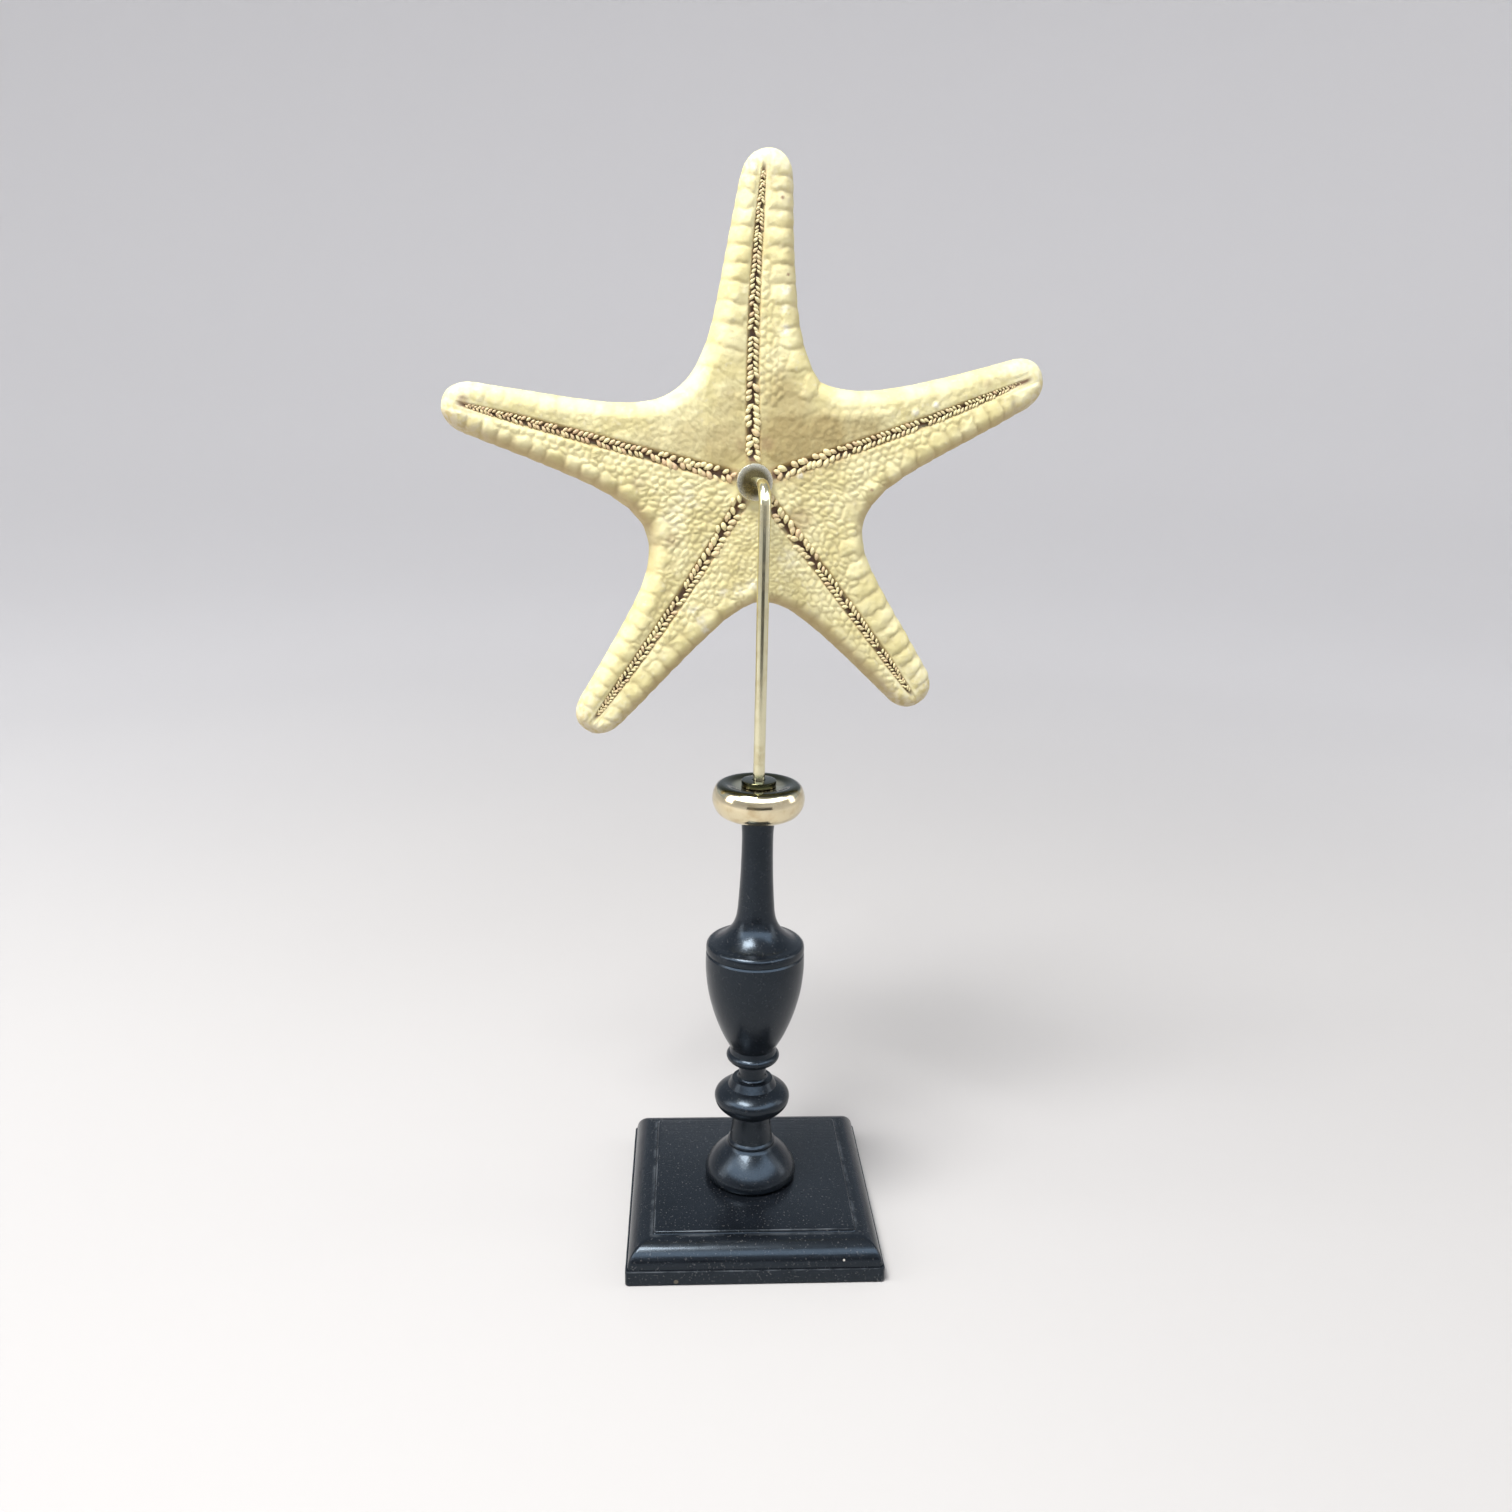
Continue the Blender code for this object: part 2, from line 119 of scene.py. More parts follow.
def close_piece(piece, angle=35):
    """Merge doubles, point all faces outwards, leave edit mode and smooth the shading up to an angle."""
    bpy.ops.mesh.select_all(action="SELECT")
    bpy.ops.mesh.remove_doubles(threshold=0.001 * MM)
    bpy.ops.mesh.normals_make_consistent(inside=False)
    bpy.ops.object.mode_set(mode="OBJECT")
    bpy.ops.object.transform_apply(location=True, rotation=True, scale=True)
    bpy.ops.object.shade_smooth_by_angle(angle=math.radians(angle))
    triangles = sum(len(face.vertices) - 2 for face in piece.data.polygons)
    print(piece.name, "has", triangles, "triangles")


def turned(name, profile, steps=96, angle=30, begins=0, sweep=360):
    """A turned piece: a single point is extruded along its profile, and the line is spun round the axis.

    The spin runs clockwise seen from above. It begins at +X, or at another angle, and may stop early.
    """
    deselect()
    bpy.ops.mesh.primitive_plane_add(size=MM)
    piece = start_piece(name)
    bpy.ops.mesh.merge(type="CENTER")
    cos, sin = math.cos(math.radians(begins)), math.sin(math.radians(begins))
    path = [Vector((radius * MM * cos, radius * MM * sin, height * MM)) for radius, height in profile]
    bpy.ops.transform.translate(value=path[0])
    for before, after in zip(path, path[1:]):
        bpy.ops.mesh.extrude_vertices_move(TRANSFORM_OT_translate={"value": after - before})
    bpy.ops.mesh.select_all(action="SELECT")
    bpy.ops.mesh.spin(steps=steps, angle=math.radians(sweep), center=(0, 0, 0), axis=(0, 0, 1))
    close_piece(piece, angle)
    return piece


def smooth_run(points, length=0.8):
    """A curve through the points, cut into steps of about that length."""
    points = np.array(points, float)
    padded = np.vstack([2 * points[0] - points[1], points, 2 * points[-1] - points[-2]])
    run = []
    for before, start, end, after in zip(padded, padded[1:], padded[2:], padded[3:]):
        count = max(1, round(np.linalg.norm(end - start) / length))
        for t in np.arange(count) / count:
            pull = 0.5 * ((end - before) * t + (2 * before - 5 * start + 4 * end - after) * t ** 2
                          + (3 * start - before - 3 * end + after) * t ** 3)
            run.append(start + pull)
    return [tuple(point) for point in run] + [tuple(points[-1])]


def bulge(height, radius, rise, fall, start, stop, steps=24):
    """Points down the outer side of a bulge, its angles measured from straight up."""
    angles = np.radians(np.linspace(start, stop, steps + 1))
    reach = np.where(np.cos(angles) > 0, rise, fall)
    points = np.column_stack([radius * np.sin(angles), height + reach * np.cos(angles)])
    return [tuple(point) for point in points]


def store(mesh, tints):
    """Keep a value per point under each name, for the material to read."""
    for label, values in tints.items():
        layer = mesh.attributes.new(label, "FLOAT", "POINT")
        layer.data.foreach_set("value", values.astype(np.float32))


# %% [markdown]
# ## Shader maths as Python expressions
#
# A node tree that is wired by hand is hard to read in code. This small class wraps a socket, so that
# `1 - mask * 0.5` adds its own Math nodes. Colours and vectors go through Mix and Vector Math nodes.


# %% Helpers for materials
class Wire:
    """An output socket that takes part in sums."""

    def __init__(self, paint, socket):
        self.paint = paint
        self.socket = socket

    def math(self, operation, *others):
        sockets = dict(enumerate((self, *others)))
        return self.paint.node("ShaderNodeMath", {"operation": operation}, sockets)

    def __add__(self, other):
        return self.math("ADD", other)

    def __rsub__(self, other):
        return self.math("MULTIPLY_ADD", -1.0, other)

    def __mul__(self, other):
        return self.math("MULTIPLY", other)

    __radd__ = __add__
    __rmul__ = __mul__


class Paint:
    """A material under construction."""

    def __init__(self, name):
        self.material = bpy.data.materials.new(name)
        self.material.use_nodes = True
        self.tree = self.material.node_tree
        self.shader = self.tree.nodes["Principled BSDF"]

    def put(self, socket, value):
        if isinstance(value, Wire):
            self.tree.links.new(value.socket, socket)
        elif socket.type == "RGBA":
            socket.default_value = (*value, 1)
        else:
            socket.default_value = value

    def node(self, kind, settings=None, sockets=None, output=0):
        """Any node: its settings first, then its sockets' values or links."""
        made = self.tree.nodes.new(kind)
        for key, value in (settings or {}).items():
            setattr(made, key, value)
        for key, value in (sockets or {}).items():
            self.put(made.inputs[key], value)
        return Wire(self, made.outputs[output])

    def place(self):
        return self.node("ShaderNodeTexCoord", output="Object")

    def stretched(self, scale):
        """Object coordinates, scaled."""
        return self.node("ShaderNodeMapping", {}, {"Vector": self.place(), "Scale": scale})

    def noise(self, size, detail, vector=None):
        """Noise from 0 to 1 whose lumps are about this many millimetres across."""
        sockets = {"Vector": vector or self.place(), "Scale": 1 / (size * MM), "Detail": detail}
        return self.node("ShaderNodeTexNoise", {}, sockets)

    def between(self, value, low, high):
        """0 below low, 1 above high, smooth between."""
        settings = {"interpolation_type": "SMOOTHSTEP"}
        sockets = {"Value": value, "From Min": low, "From Max": high}
        return self.node("ShaderNodeMapRange", settings, sockets)

    def blend(self, mask, first, second):
        """The first colour where the mask is 0, the second where it is 1."""
        sockets = {"Factor": mask, 6: first, 7: second}
        return self.node("ShaderNodeMix", {"data_type": "RGBA"}, sockets, output=2)

    def attribute(self, name):
        return self.node("ShaderNodeAttribute", {"attribute_name": name}, {}, output="Fac")

    def spot(self, place, radius):
        """1 within a small ball about a place in millimetres, 0 outside it."""
        ends = {0: self.place(), 1: tuple(part * MM for part in place)}
        gap = self.node("ShaderNodeVectorMath", {"operation": "DISTANCE"}, ends, output="Value")
        return 1 - self.between(gap, 0.6 * radius * MM, radius * MM)

    def bump(self, height, depth):
        """A fine relief of up to this many millimetres."""
        sockets = {"Height": height, "Distance": depth * MM, "Strength": 1.0}
        return self.node("ShaderNodeBump", {}, sockets)

    def finish(self, **sockets):
        for key, value in sockets.items():
            self.put(self.shader.inputs[key.replace("_", " ")], value)
        print(self.material.name, "has", len(self.tree.nodes), "nodes")
        return self.material


def dress(piece, material, slot, *nodes):
    """Give a finished piece its material and body, and let it stand for its solids. The slot is not used."""
    piece.data.materials.clear()
    piece.data.materials.append(material)
    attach(piece, "root")
    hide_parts(*nodes)


# %% [markdown]
# ## Floor and light
#
# A small ornament like this is photographed on a pale sheet that curves up behind it. The sheet here is a
# wide, round bowl, so it looks the same from every side. Three soft lamps stand for the room's windows.
# What polished wood and brass mirror matters as much as the lamps: a window's sky in front, the dark end of
# the room below it and the dim room behind are cards that only the polished pieces see.

# %% Floor
bpy.context.scene.view_settings.view_transform = "Standard"
FLOOR = [(0, 0), (900, 0), (1300, 20), (1700, 110), (2000, 280), (2200, 600), (2250, 1200), (2250, 2600)]
backdrop = turned("backdrop", smooth_run(FLOOR, 60), steps=72, angle=80)
bpy.ops.object.mode_set(mode="EDIT")
bpy.ops.mesh.select_all(action="SELECT")
bpy.ops.mesh.flip_normals()
bpy.ops.object.mode_set(mode="OBJECT")
paper = Paint("pale_paper")
tone = paper.noise(400, 1.0)
away = paper.node("ShaderNodeVectorMath", {"operation": "LENGTH"}, {0: paper.place()}, output="Value")
near_colour = paper.blend(tone, (0.49, 0.475, 0.465), (0.53, 0.515, 0.50))
# Painted light: the sheet is darker near the stand and painted lighter further off, as if a lamp lit the far
# wall.
paper_and_painted_light = paper.blend(paper.between(away, 0.25, 1.5), near_colour, (0.745, 0.735, 0.74))
backdrop.data.materials.append(paper.finish(Base_Color=paper_and_painted_light, Roughness=0.85))


# %% Lamps
def lamp(name, place, aim, width, height, power):
    data = bpy.data.lights.new(name, "AREA")
    data.shape = "RECTANGLE"
    data.size = width
    data.size_y = height
    data.energy = power
    item = bpy.data.objects.new(name, data)
    item.location = place
    item.rotation_mode = "QUATERNION"
    item.rotation_quaternion = (Vector(aim) - Vector(place)).to_track_quat("-Z", "Y")
    bpy.context.scene.collection.objects.link(item)
    print(name, "gives", power, "W")


lamp("window_above", (-0.40, -0.40, 1.35), (0, 0, 0.25), 0.6, 0.4, 26.5)
lamp("window_left", (-1.2, -0.2, 0.7), (0, 0, 0.2), 0.5, 0.9, 4)
lamp("window_right", (1.2, 0.0, 0.6), (0, 0, 0.2), 0.4, 0.8, 2)


# %% Cards
def mirror_card(card, **finish):
    """Let only the polished pieces see this card."""
    card.visible_camera = card.visible_diffuse = card.visible_shadow = False
    card.data.materials.append(Paint(card.name).finish(**finish))


deselect()
bpy.ops.mesh.primitive_plane_add(size=1, location=(0, -1.1, 0.125), rotation=(math.radians(90), 0, 0))
dark_end = bpy.context.object
dark_end.name = "black_card"
dark_end.scale = (1.3, 0.25, 1)
mirror_card(dark_end, Base_Color=(0.04, 0.04, 0.04), Roughness=1.0)

CARD_REACH = 1250
# Where each strip of a drum begins, how far it sweeps, its foot and head, and its strength.
CARDS = {"sky_card": (350, 160, 750, 1750, 5.0), "dusk_card": (172, 164, 360, 2400, 0.42)}
for name, (begins, sweep, foot, head, glow) in CARDS.items():
    strip = turned(name, [(CARD_REACH, foot), (CARD_REACH, head)], steps=32, begins=begins, sweep=sweep)
    mirror_card(strip, Base_Color=(0, 0, 0), Emission_Color=(0.74, 0.86, 1.0), Emission_Strength=glow)

# %% Even light from all round
ROOM_COLOUR, ROOM_STRENGTH = (0.93, 0.95, 1.0, 1), 0.55
world = bpy.data.worlds.new("room")
world.use_nodes = True
world.node_tree.nodes["Background"].inputs["Color"].default_value = ROOM_COLOUR
world.node_tree.nodes["Background"].inputs["Strength"].default_value = ROOM_STRENGTH
bpy.context.scene.world = world
print("the room's strength is", ROOM_STRENGTH)

# %% [markdown]
# ## Ebonised wood
#
# Ebonising stains a close-grained wood black and polishes it. Seen near, it is a very dark blue-grey with
# a satin sheen, faint grain and a little dust; its edges are lighter, worn and with painted edge highlights.
# The grain is noise drawn out along the wood.


# %% Ebonised wood
def ebonised(name, grain_scale, dust, chips=(), wear_and_edge_highlight=None):
    paint = Paint(name)
    grain = paint.noise(1.0, 2.0, paint.stretched(grain_scale))
    cloud = paint.noise(14, 2.0)
    colour = paint.blend(cloud, (0.0035, 0.0045, 0.006), (0.008, 0.010, 0.0135))
    speck = paint.between(paint.noise(0.9, 2.0), 0.63, 0.71) * dust
    colour = paint.blend(speck, colour, (0.06, 0.06, 0.06))
    for place, radius, chipped in chips:
        colour = paint.blend(paint.spot(place, radius), colour, chipped)
    # Edges marked by an attribute are painted lighter: partly wear, partly painted edge highlights.
    if wear_and_edge_highlight:
        wear_and_highlight_mask = paint.attribute(wear_and_edge_highlight) * paint.between(paint.noise(7, 3.0), 0.34, 0.66)
        colour = paint.blend(wear_and_highlight_mask, colour, (0.095, 0.105, 0.115))
    rough = 0.13 + 0.15 * paint.noise(6, 3.0) + 0.06 * grain
    normal = paint.bump(grain + paint.noise(5, 1.0), 0.03)
    return paint.finish(Base_Color=colour, Roughness=rough, Normal=normal, IOR=1.43,
                        Specular_Tint=(0.72, 0.86, 1.0))


turned_wood = ebonised("turned_wood", (1, 1, 0.06), 0.5)
# Chips in the base's finish: place, radius and colour.
CHIPS = (((34.0, -48.6, 9.2), 0.55, (0.6, 0.58, 0.52)), ((-30.5, -50.0, 1.7), 1.1, (0.10, 0.085, 0.06)),
         ((49.8, -44.0, 3.0), 0.7, (0.12, 0.10, 0.08)))
base_wood_finish = ebonised("base_wood_finish", (0.06, 1, 1), 1.0, CHIPS, "wear_and_edge_highlight")

# %% [markdown]
# ## The square base
#
# The real base is a board with a moulding run round it: a plain band, a quarter-round, a small fillet and
# the flat top. It could be four mitred mouldings, but one block raised level by level gives the same
# edges, and its mitres stay true because every level is a square.

# %% The base's levels
BASE_HALF, BAND_TOP, BASE_TOP = 50.0, 6.2, 16.3
MOULDING_FOOT, MOULDING_HEAD, MOULDING_TOP = 49.2, 41.2, 15.0
FLAT_HALF, FILLET_FOOT = 39.3, 15.03
EASE, MOULDING_STEPS = 0.45, 14
levels = [(BASE_HALF, EASE), (BASE_HALF, BAND_TOP - EASE), (BASE_HALF - 0.13, BAND_TOP - 0.13)]
levels += [(BASE_HALF - EASE, BAND_TOP), (MOULDING_FOOT, BAND_TOP)]
for step in range(1, MOULDING_STEPS + 1):
    turn = math.radians(90 * step / MOULDING_STEPS)
    reach = (MOULDING_FOOT - MOULDING_HEAD) * math.cos(turn)
    levels.append((MOULDING_HEAD + reach, BAND_TOP + (MOULDING_TOP - BAND_TOP) * math.sin(turn)))
levels += [(FLAT_HALF + 0.62, FILLET_FOOT), (FLAT_HALF + 0.28, 15.15), (FLAT_HALF + 0.08, 15.4)]
levels += [(FLAT_HALF, 15.7), (FLAT_HALF - 0.12, BASE_TOP - 0.22), (FLAT_HALF - 0.3, BASE_TOP - 0.07)]
levels += [(FLAT_HALF - 0.55, BASE_TOP)]
print(len(levels), "levels")

# %% Raise the base
half, height = 49.55, 0.1
deselect()
bpy.ops.mesh.primitive_cube_add(size=MM, scale=(2 * half, 2 * half, height), location=(0, 0, height / 2 * MM))
bpy.ops.object.transform_apply(location=True, rotation=True, scale=True)
base = start_piece("base_wood")
pick("EDGE", lambda middle: abs(abs(middle.x) - abs(middle.y)) < MM and abs(middle.x) > 49 * MM)
bpy.ops.mesh.bevel(offset=1.4 * MM, segments=5, affect="EDGES")
for next_half, next_height in levels:
    pick("FACE", lambda middle: middle.z > (height - 0.01) * MM and max(abs(middle.x), abs(middle.y)) < MM)
    bpy.ops.mesh.extrude_region_move(TRANSFORM_OT_translate={"value": (0, 0, (next_height - height) * MM)})
    grow = next_half / half
    bpy.ops.transform.resize(value=(grow, grow, 1), center_override=(0, 0, 0))
    half, height = next_half, next_height
close_piece(base, 25)

heights = np.array([corner.co.z for corner in base.data.vertices]) / MM
# The edge rings painted lighter, as wear and as painted highlights, and how strongly.
WEAR_AND_HIGHLIGHT_LEVELS = ((BAND_TOP - 0.13, 0.9), (FILLET_FOOT, 0.6), (BASE_TOP - 0.22, 0.9), (BASE_TOP - 0.07, 0.9))
store(base.data, {"wear_and_edge_highlight": sum(wear * (abs(heights - level) < 0.02) for level, wear in WEAR_AND_HIGHLIGHT_LEVELS)})
dress(base, base_wood_finish, "ebonised_wood", "base")

# %% [markdown]
# ## The column
#
# The column was turned on a lathe: a slim neck, an urn with a ring round its shoulder, a bead, a knop and
# a bell foot, with a tenon below that stands in the base. A lathe is a spin in Blender: one line, the
# profile, goes once round the axis. The line is smooth along each moulding and breaks between them.

# %% The column's profile
neck = smooth_run([(6.75, 171.9), (6.35, 169.0), (6.1, 163.0), (6.42, 149.0), (7.15, 136.5), (7.6, 132.5),
                   (8.2, 130.0), (9.6, 127.0), (12.4, 123.9), (15.6, 121.6), (17.8, 120.9)])
shoulder = smooth_run([(18.35, 120.75), (19.2, 119.9), (19.5, 118.4), (19.45, 117.2)], 0.4)
urn = smooth_run([(19.0, 116.7), (19.5, 116.0), (19.6, 109.8), (18.95, 102.5), (17.6, 95.5), (15.5, 88.4),
                  (12.6, 81.2), (9.1, 74.6)])
bead = bulge(70.9, 10.75, 3.6, 4.6, 62, 148)
knop = smooth_run([(5.6, 65.0), (5.5, 62.0), (6.3, 60.6), (8.2, 60.3)], 0.5)
knop += bulge(52.4, 15.35, 6.6, 9.0, 40, 143)
bell = smooth_run([(7.9, 44.0), (8.0, 40.0), (8.45, 36.0), (8.8, 33.2)])
bell += smooth_run([(9.3, 32.7), (9.7, 32.1), (9.7, 31.2)], 0.3)
bell += smooth_run([(10.2, 30.4), (12.4, 28.5), (15.2, 25.7), (17.5, 22.6), (18.7, 19.8), (18.8, 18.2),
                    (18.3, 17.0), (17.8, 16.6)])
tenon = [(6, 16.6), (6, 6.6), (0, 6.6)]
BORE = 2.55
hole = [(0, 155.7), (BORE, 155.7), (BORE, 171.9)]
column = turned("column_wood", hole + neck + shoulder + urn + bead + knop + bell + tenon)
dress(column, turned_wood, "ebonised_wood", "column")

# %% [markdown]
# ## Brass
#
# Polished brass is a yellow metal that shows the room more than itself. It is made of one metallic shader
# whose colour and roughness vary a little, duller in random patches, with fine scratches. The collar and cap
# are darker above a set height. The disc is a dark patina and painted dark reflection, with a painted highlight
# towards its rim.


# %% Brass
# The darker top's colour, the disc's painted rim highlight, and the radius over which that highlight fades in.
DARK_TOP_COLOUR, PAINTED_RIM_HIGHLIGHT, RIM_HIGHLIGHT_RADIUS = (0.06, 0.058, 0.03), (0.80, 0.76, 0.62), 7.6


def brass_finish(name, colour, dull, rough, stretch, darker_above=None, painted_rim_centre=None):
    paint = Paint(name)
    cloud = paint.noise(5, 3.0)
    scratch = paint.noise(1.0, 5.0, paint.stretched(stretch))
    tone = paint.blend(paint.between(cloud, 0.45, 0.75), colour, dull)
    # The colour is darker above a set height: the collar's top and the cap.
    if darker_above:
        height = paint.node("ShaderNodeSeparateXYZ", {}, {"Vector": paint.place()}, output="Z")
        above = paint.between(height, darker_above * MM, (darker_above + 1) * MM)
        tone = paint.blend(above, tone, DARK_TOP_COLOUR)
    # Painted highlight: outside a small ball about this place, the colour turns to a bright rim.
    if painted_rim_centre:
        tone = paint.blend(paint.spot(painted_rim_centre, RIM_HIGHLIGHT_RADIUS), PAINTED_RIM_HIGHLIGHT, tone)
    finish = rough + 0.10 * paint.between(cloud, 0.5, 0.8) + 0.06 * scratch
    return paint.finish(Base_Color=tone, Metallic=1.0, Roughness=finish, Normal=paint.bump(scratch, 0.01))


rod_finish = brass_finish("rod_brass_finish", (0.76, 0.71, 0.48), (0.66, 0.59, 0.37), 0.12, (1, 1, 0.05))
collar_finish = brass_finish("collar_finish", (0.78, 0.68, 0.46), (0.62, 0.50, 0.30), 0.10, (0.4, 0.4, 3),
                             darker_above=184.6)

# %% [markdown]
# ## Collar and cap
#
# Both are turned: a round bun with a dished top, and the small raised disc that the rod comes out of.

# %% Collar and cap
dish = smooth_run([(BORE, 185.0), (9.0, 185.1), (13.4, 186.2), (15.6, 185.7), (17.1, 183.8), (17.85, 180.4),
                   (17.3, 177.4), (15.4, 174.4), (12.0, 172.6), (9.0, 172.2)], 0.7)
collar = turned("collar_brass", dish + [(BORE, 172.2), (BORE, 185.0)], angle=60)
dress(collar, collar_finish, "polished_brass", "collar")
cap_edge = [(6.3, 187.5), (6.5, 187.45), (6.65, 187.3), (6.7, 187.1)]
cap = turned("cap_brass", [(BORE, 187.5)] + cap_edge + [(6.7, 185.3), (BORE, 185.3), (BORE, 187.5)], 64)
dress(cap, collar_finish, "polished_brass", "collar_cap")

# %% [markdown]
# ## Rod and disc
#
# The rod is a straight wire with one tight quarter bend. A ring is extruded up, spun round the bend's
# middle and extruded back, as a wire would be bent. The disc that it ends in closes the mouth.

# %% Rod
STAR_TURN = math.radians(8)
BACK = Vector((-math.sin(STAR_TURN), math.cos(STAR_TURN), 0))
STAR_SETBACK, STAR_HEIGHT = 22, 297.7
STAR_ORIGIN = (BACK * STAR_SETBACK + Vector((0, 0, STAR_HEIGHT))) * MM
STAR_PLACE = Matrix.Translation(STAR_ORIGIN) @ Matrix.Rotation(STAR_TURN, 4, "Z")
DISC_THICK, DISC_GAP = 2.2, 0.3
ROD_RADIUS, ROD_FOOT, FIRST_RING, BEND_FOOT, BEND = 2.25, 156, 160, 290.7, 7.0
deselect()
bpy.ops.mesh.primitive_circle_add(vertices=32, radius=ROD_RADIUS * MM, location=(0, 0, ROD_FOOT * MM),
                                  fill_type="NGON")
rod = start_piece("rod_brass")
bpy.ops.mesh.select_all(action="SELECT")
for rise in (FIRST_RING - ROD_FOOT, BEND_FOOT - FIRST_RING):
    bpy.ops.mesh.extrude_region_move(TRANSFORM_OT_translate={"value": (0, 0, rise * MM)})
bend_middle = BACK * BEND * MM + Vector((0, 0, BEND_FOOT * MM))
bpy.ops.mesh.spin(steps=16, angle=math.pi / 2, center=bend_middle, axis=BACK.cross(Vector((0, 0, 1))))
run = STAR_SETBACK - DISC_THICK - DISC_GAP - BEND
bpy.ops.mesh.extrude_region_move(TRANSFORM_OT_translate={"value": BACK * run * MM})
close_piece(rod, 40)
print("rod reaches", [round(max(v.co[k] for v in rod.data.vertices) / MM, 2) for k in range(3)])
dress(rod, rod_finish, "polished_brass", "rod")

# %% Disc
disc_edge = [(6.6, DISC_THICK), (6.78, 2.17), (6.93, 2.0), (7.0, 1.8), (7.0, 0.4), (6.6, 0)]
disc = turned("disc_brass", [(0, DISC_THICK)] + disc_edge + [(0, 0)], 64)
disc.matrix_world = STAR_PLACE @ Matrix.Rotation(math.pi / 2, 4, "X")
bpy.ops.object.transform_apply(location=True, rotation=True, scale=True)
# The disc's dark colour is a patina and a painted dark reflection; a painted highlight lightens its rim.
dark_brass = brass_finish("dark_brass", (0.20, 0.165, 0.08), (0.08, 0.06, 0.026), 0.24, (1, 1, 1),
                          painted_rim_centre=tuple(STAR_ORIGIN / MM))
dress(disc, dark_brass, "polished_brass", "rod_disc")

# %% [markdown]
# ## The starfish: its plan
#
# Seen square on, the starfish is five tapering arms round a disc, each with its own length and bend. The
# arm's middle is its furrow, where the tube feet were. All numbers are millimetres from the mouth, with
# x to the right, y up and the depth behind the foremost plane.

# %% The arms
Arm = namedtuple("Arm", "direction length bow tip_shift girth rim_shift tip_rim_shift notch_reach")
ARMS = (
    Arm(19.7, 121.0, -0.9, 1.8, 1.02, -0.4, -0.8, 45.4),
    Arm(89.2, 116.0, 1.9, -0.6, 1.00, -2.1, -2.1, 43.6),
    Arm(166.0, 116.3, 0.4, 0.8, 0.95, 0.8, 0.3, 44.4),
    Arm(235.6, 114.8, 2.0, 0.8, 0.99, 2.3, 0.4, 47.0),
    Arm(309.0, 113.0, 0.3, -0.8, 1.02, 0.3, 1.8, 47.9),
)
USUAL_LENGTH, DISC_REACH = 116.0, 36.4
print(len(ARMS), "arms")


def half_width(along, length):
    """Half an arm's width: a taper, a flare to the disc and a round tip."""
    reach = along * USUAL_LENGTH / length
    beyond = reach - DISC_REACH
    flare = 9.0 * np.exp(-beyond / 9.5) + 1.8 * np.exp(-beyond / 3.0)
    tip = np.clip((reach - USUAL_LENGTH + 10) / 10, 0, 1)
    return (15.0 - 0.119 * (reach - 60) + flare) * (1 - tip ** 2.2) ** (1 / 2.2)


def arm_axes(arm):
    direction = math.radians(arm.direction)
    axis = np.array([math.cos(direction), math.sin(direction)])
    return axis, np.array([-axis[1], axis[0]])


def bow(arm, along):
    share = along / arm.length
    return arm.bow * np.sin(math.pi * share) + arm.tip_shift * share ** 4


def rim_shift(arm, along):
    return arm.rim_shift + (arm.tip_rim_shift - arm.rim_shift) * np.clip(2 * along / arm.length - 1, 0, 1)


def arm_point(arm, along, aside):
    axis, side = arm_axes(arm)
    return np.outer(along, axis) + np.outer(bow(arm, along) + aside, side)


def notch_beside(index, sign):
    """How far the notch on one side of an arm is from the mouth, and its angle from the arm."""
    arm, other = ARMS[index], ARMS[(index + sign) % len(ARMS)]
    reach = arm.notch_reach if sign > 0 else other.notch_reach
    return reach, math.radians((sign * (other.direction - arm.direction)) % 360) / 2


def edge_line(index, sign, shares):
    """The star's edge on one side of an arm, from the notch to the tip."""
    arm = ARMS[index]
    reach, half_angle = notch_beside(index, sign)
    angle = math.radians(arm.direction) + sign * half_angle
    notch = reach * np.array([math.cos(angle), math.sin(angle)])
    start = reach * math.cos(half_angle)
    along = start + (arm.length - start) * shares
    width = arm.girth * half_width(along, arm.length)
    line = arm_point(arm, along, rim_shift(arm, along) + sign * width)
    return line + np.outer(np.exp(-(along - start) / 4), notch - line[0])


# %% The outline
NET_PITCH = 0.55


def star_outline():
    """The whole edge as one ring of evenly spaced points, and the way outwards at each."""
    shares = 1 - (1 - np.linspace(0, 1, 1200)) ** 2
    ring = []
    for index in range(len(ARMS)):
        ring.append(edge_line(index, -1, shares)[:-1])
        ring.append(edge_line(index, 1, shares)[:0:-1])
    ring = np.concatenate(ring)
    steps = np.linalg.norm(np.roll(ring, -1, axis=0) - ring, axis=1)
    travelled = np.concatenate([[0], np.cumsum(steps)])
    closed = np.vstack([ring, ring[:1]])
    count = round(travelled[-1] / NET_PITCH)
    even = np.arange(count) * travelled[-1] / count
    points = np.column_stack([np.interp(even, travelled, closed[:, k]) for k in (0, 1)])
    ahead = np.roll(points, -3, axis=0) - np.roll(points, 3, axis=0)
    ahead /= np.linalg.norm(ahead, axis=1)[:, None]
    return points, np.column_stack([ahead[:, 1], -ahead[:, 0]])


outline, outwards = star_outline()
if np.mean(np.einsum("ij,ij->i", outline, outwards)) < 0:
    outwards = -outwards
outline_tree = kdtree.KDTree(len(outline))
for number, (x, y) in enumerate(outline):
    outline_tree.insert((x, y, 0), number)
outline_tree.balance()
print("the edge is", round(len(outline) * NET_PITCH), "mm round")


# %% Where a point lies
def edge_distance(points):
    """Distance inwards from the star's edge, less than 0 outside it."""
    found = [outline_tree.find((x, y, 0)) for x, y in points]
    nearest = np.array([number for _, number, _ in found])
    gap = np.array([gap for _, _, gap in found])
    inside = np.einsum("ij,ij->i", outline[nearest] - points, outwards[nearest]) > 0
    return np.where(inside, gap, -gap)


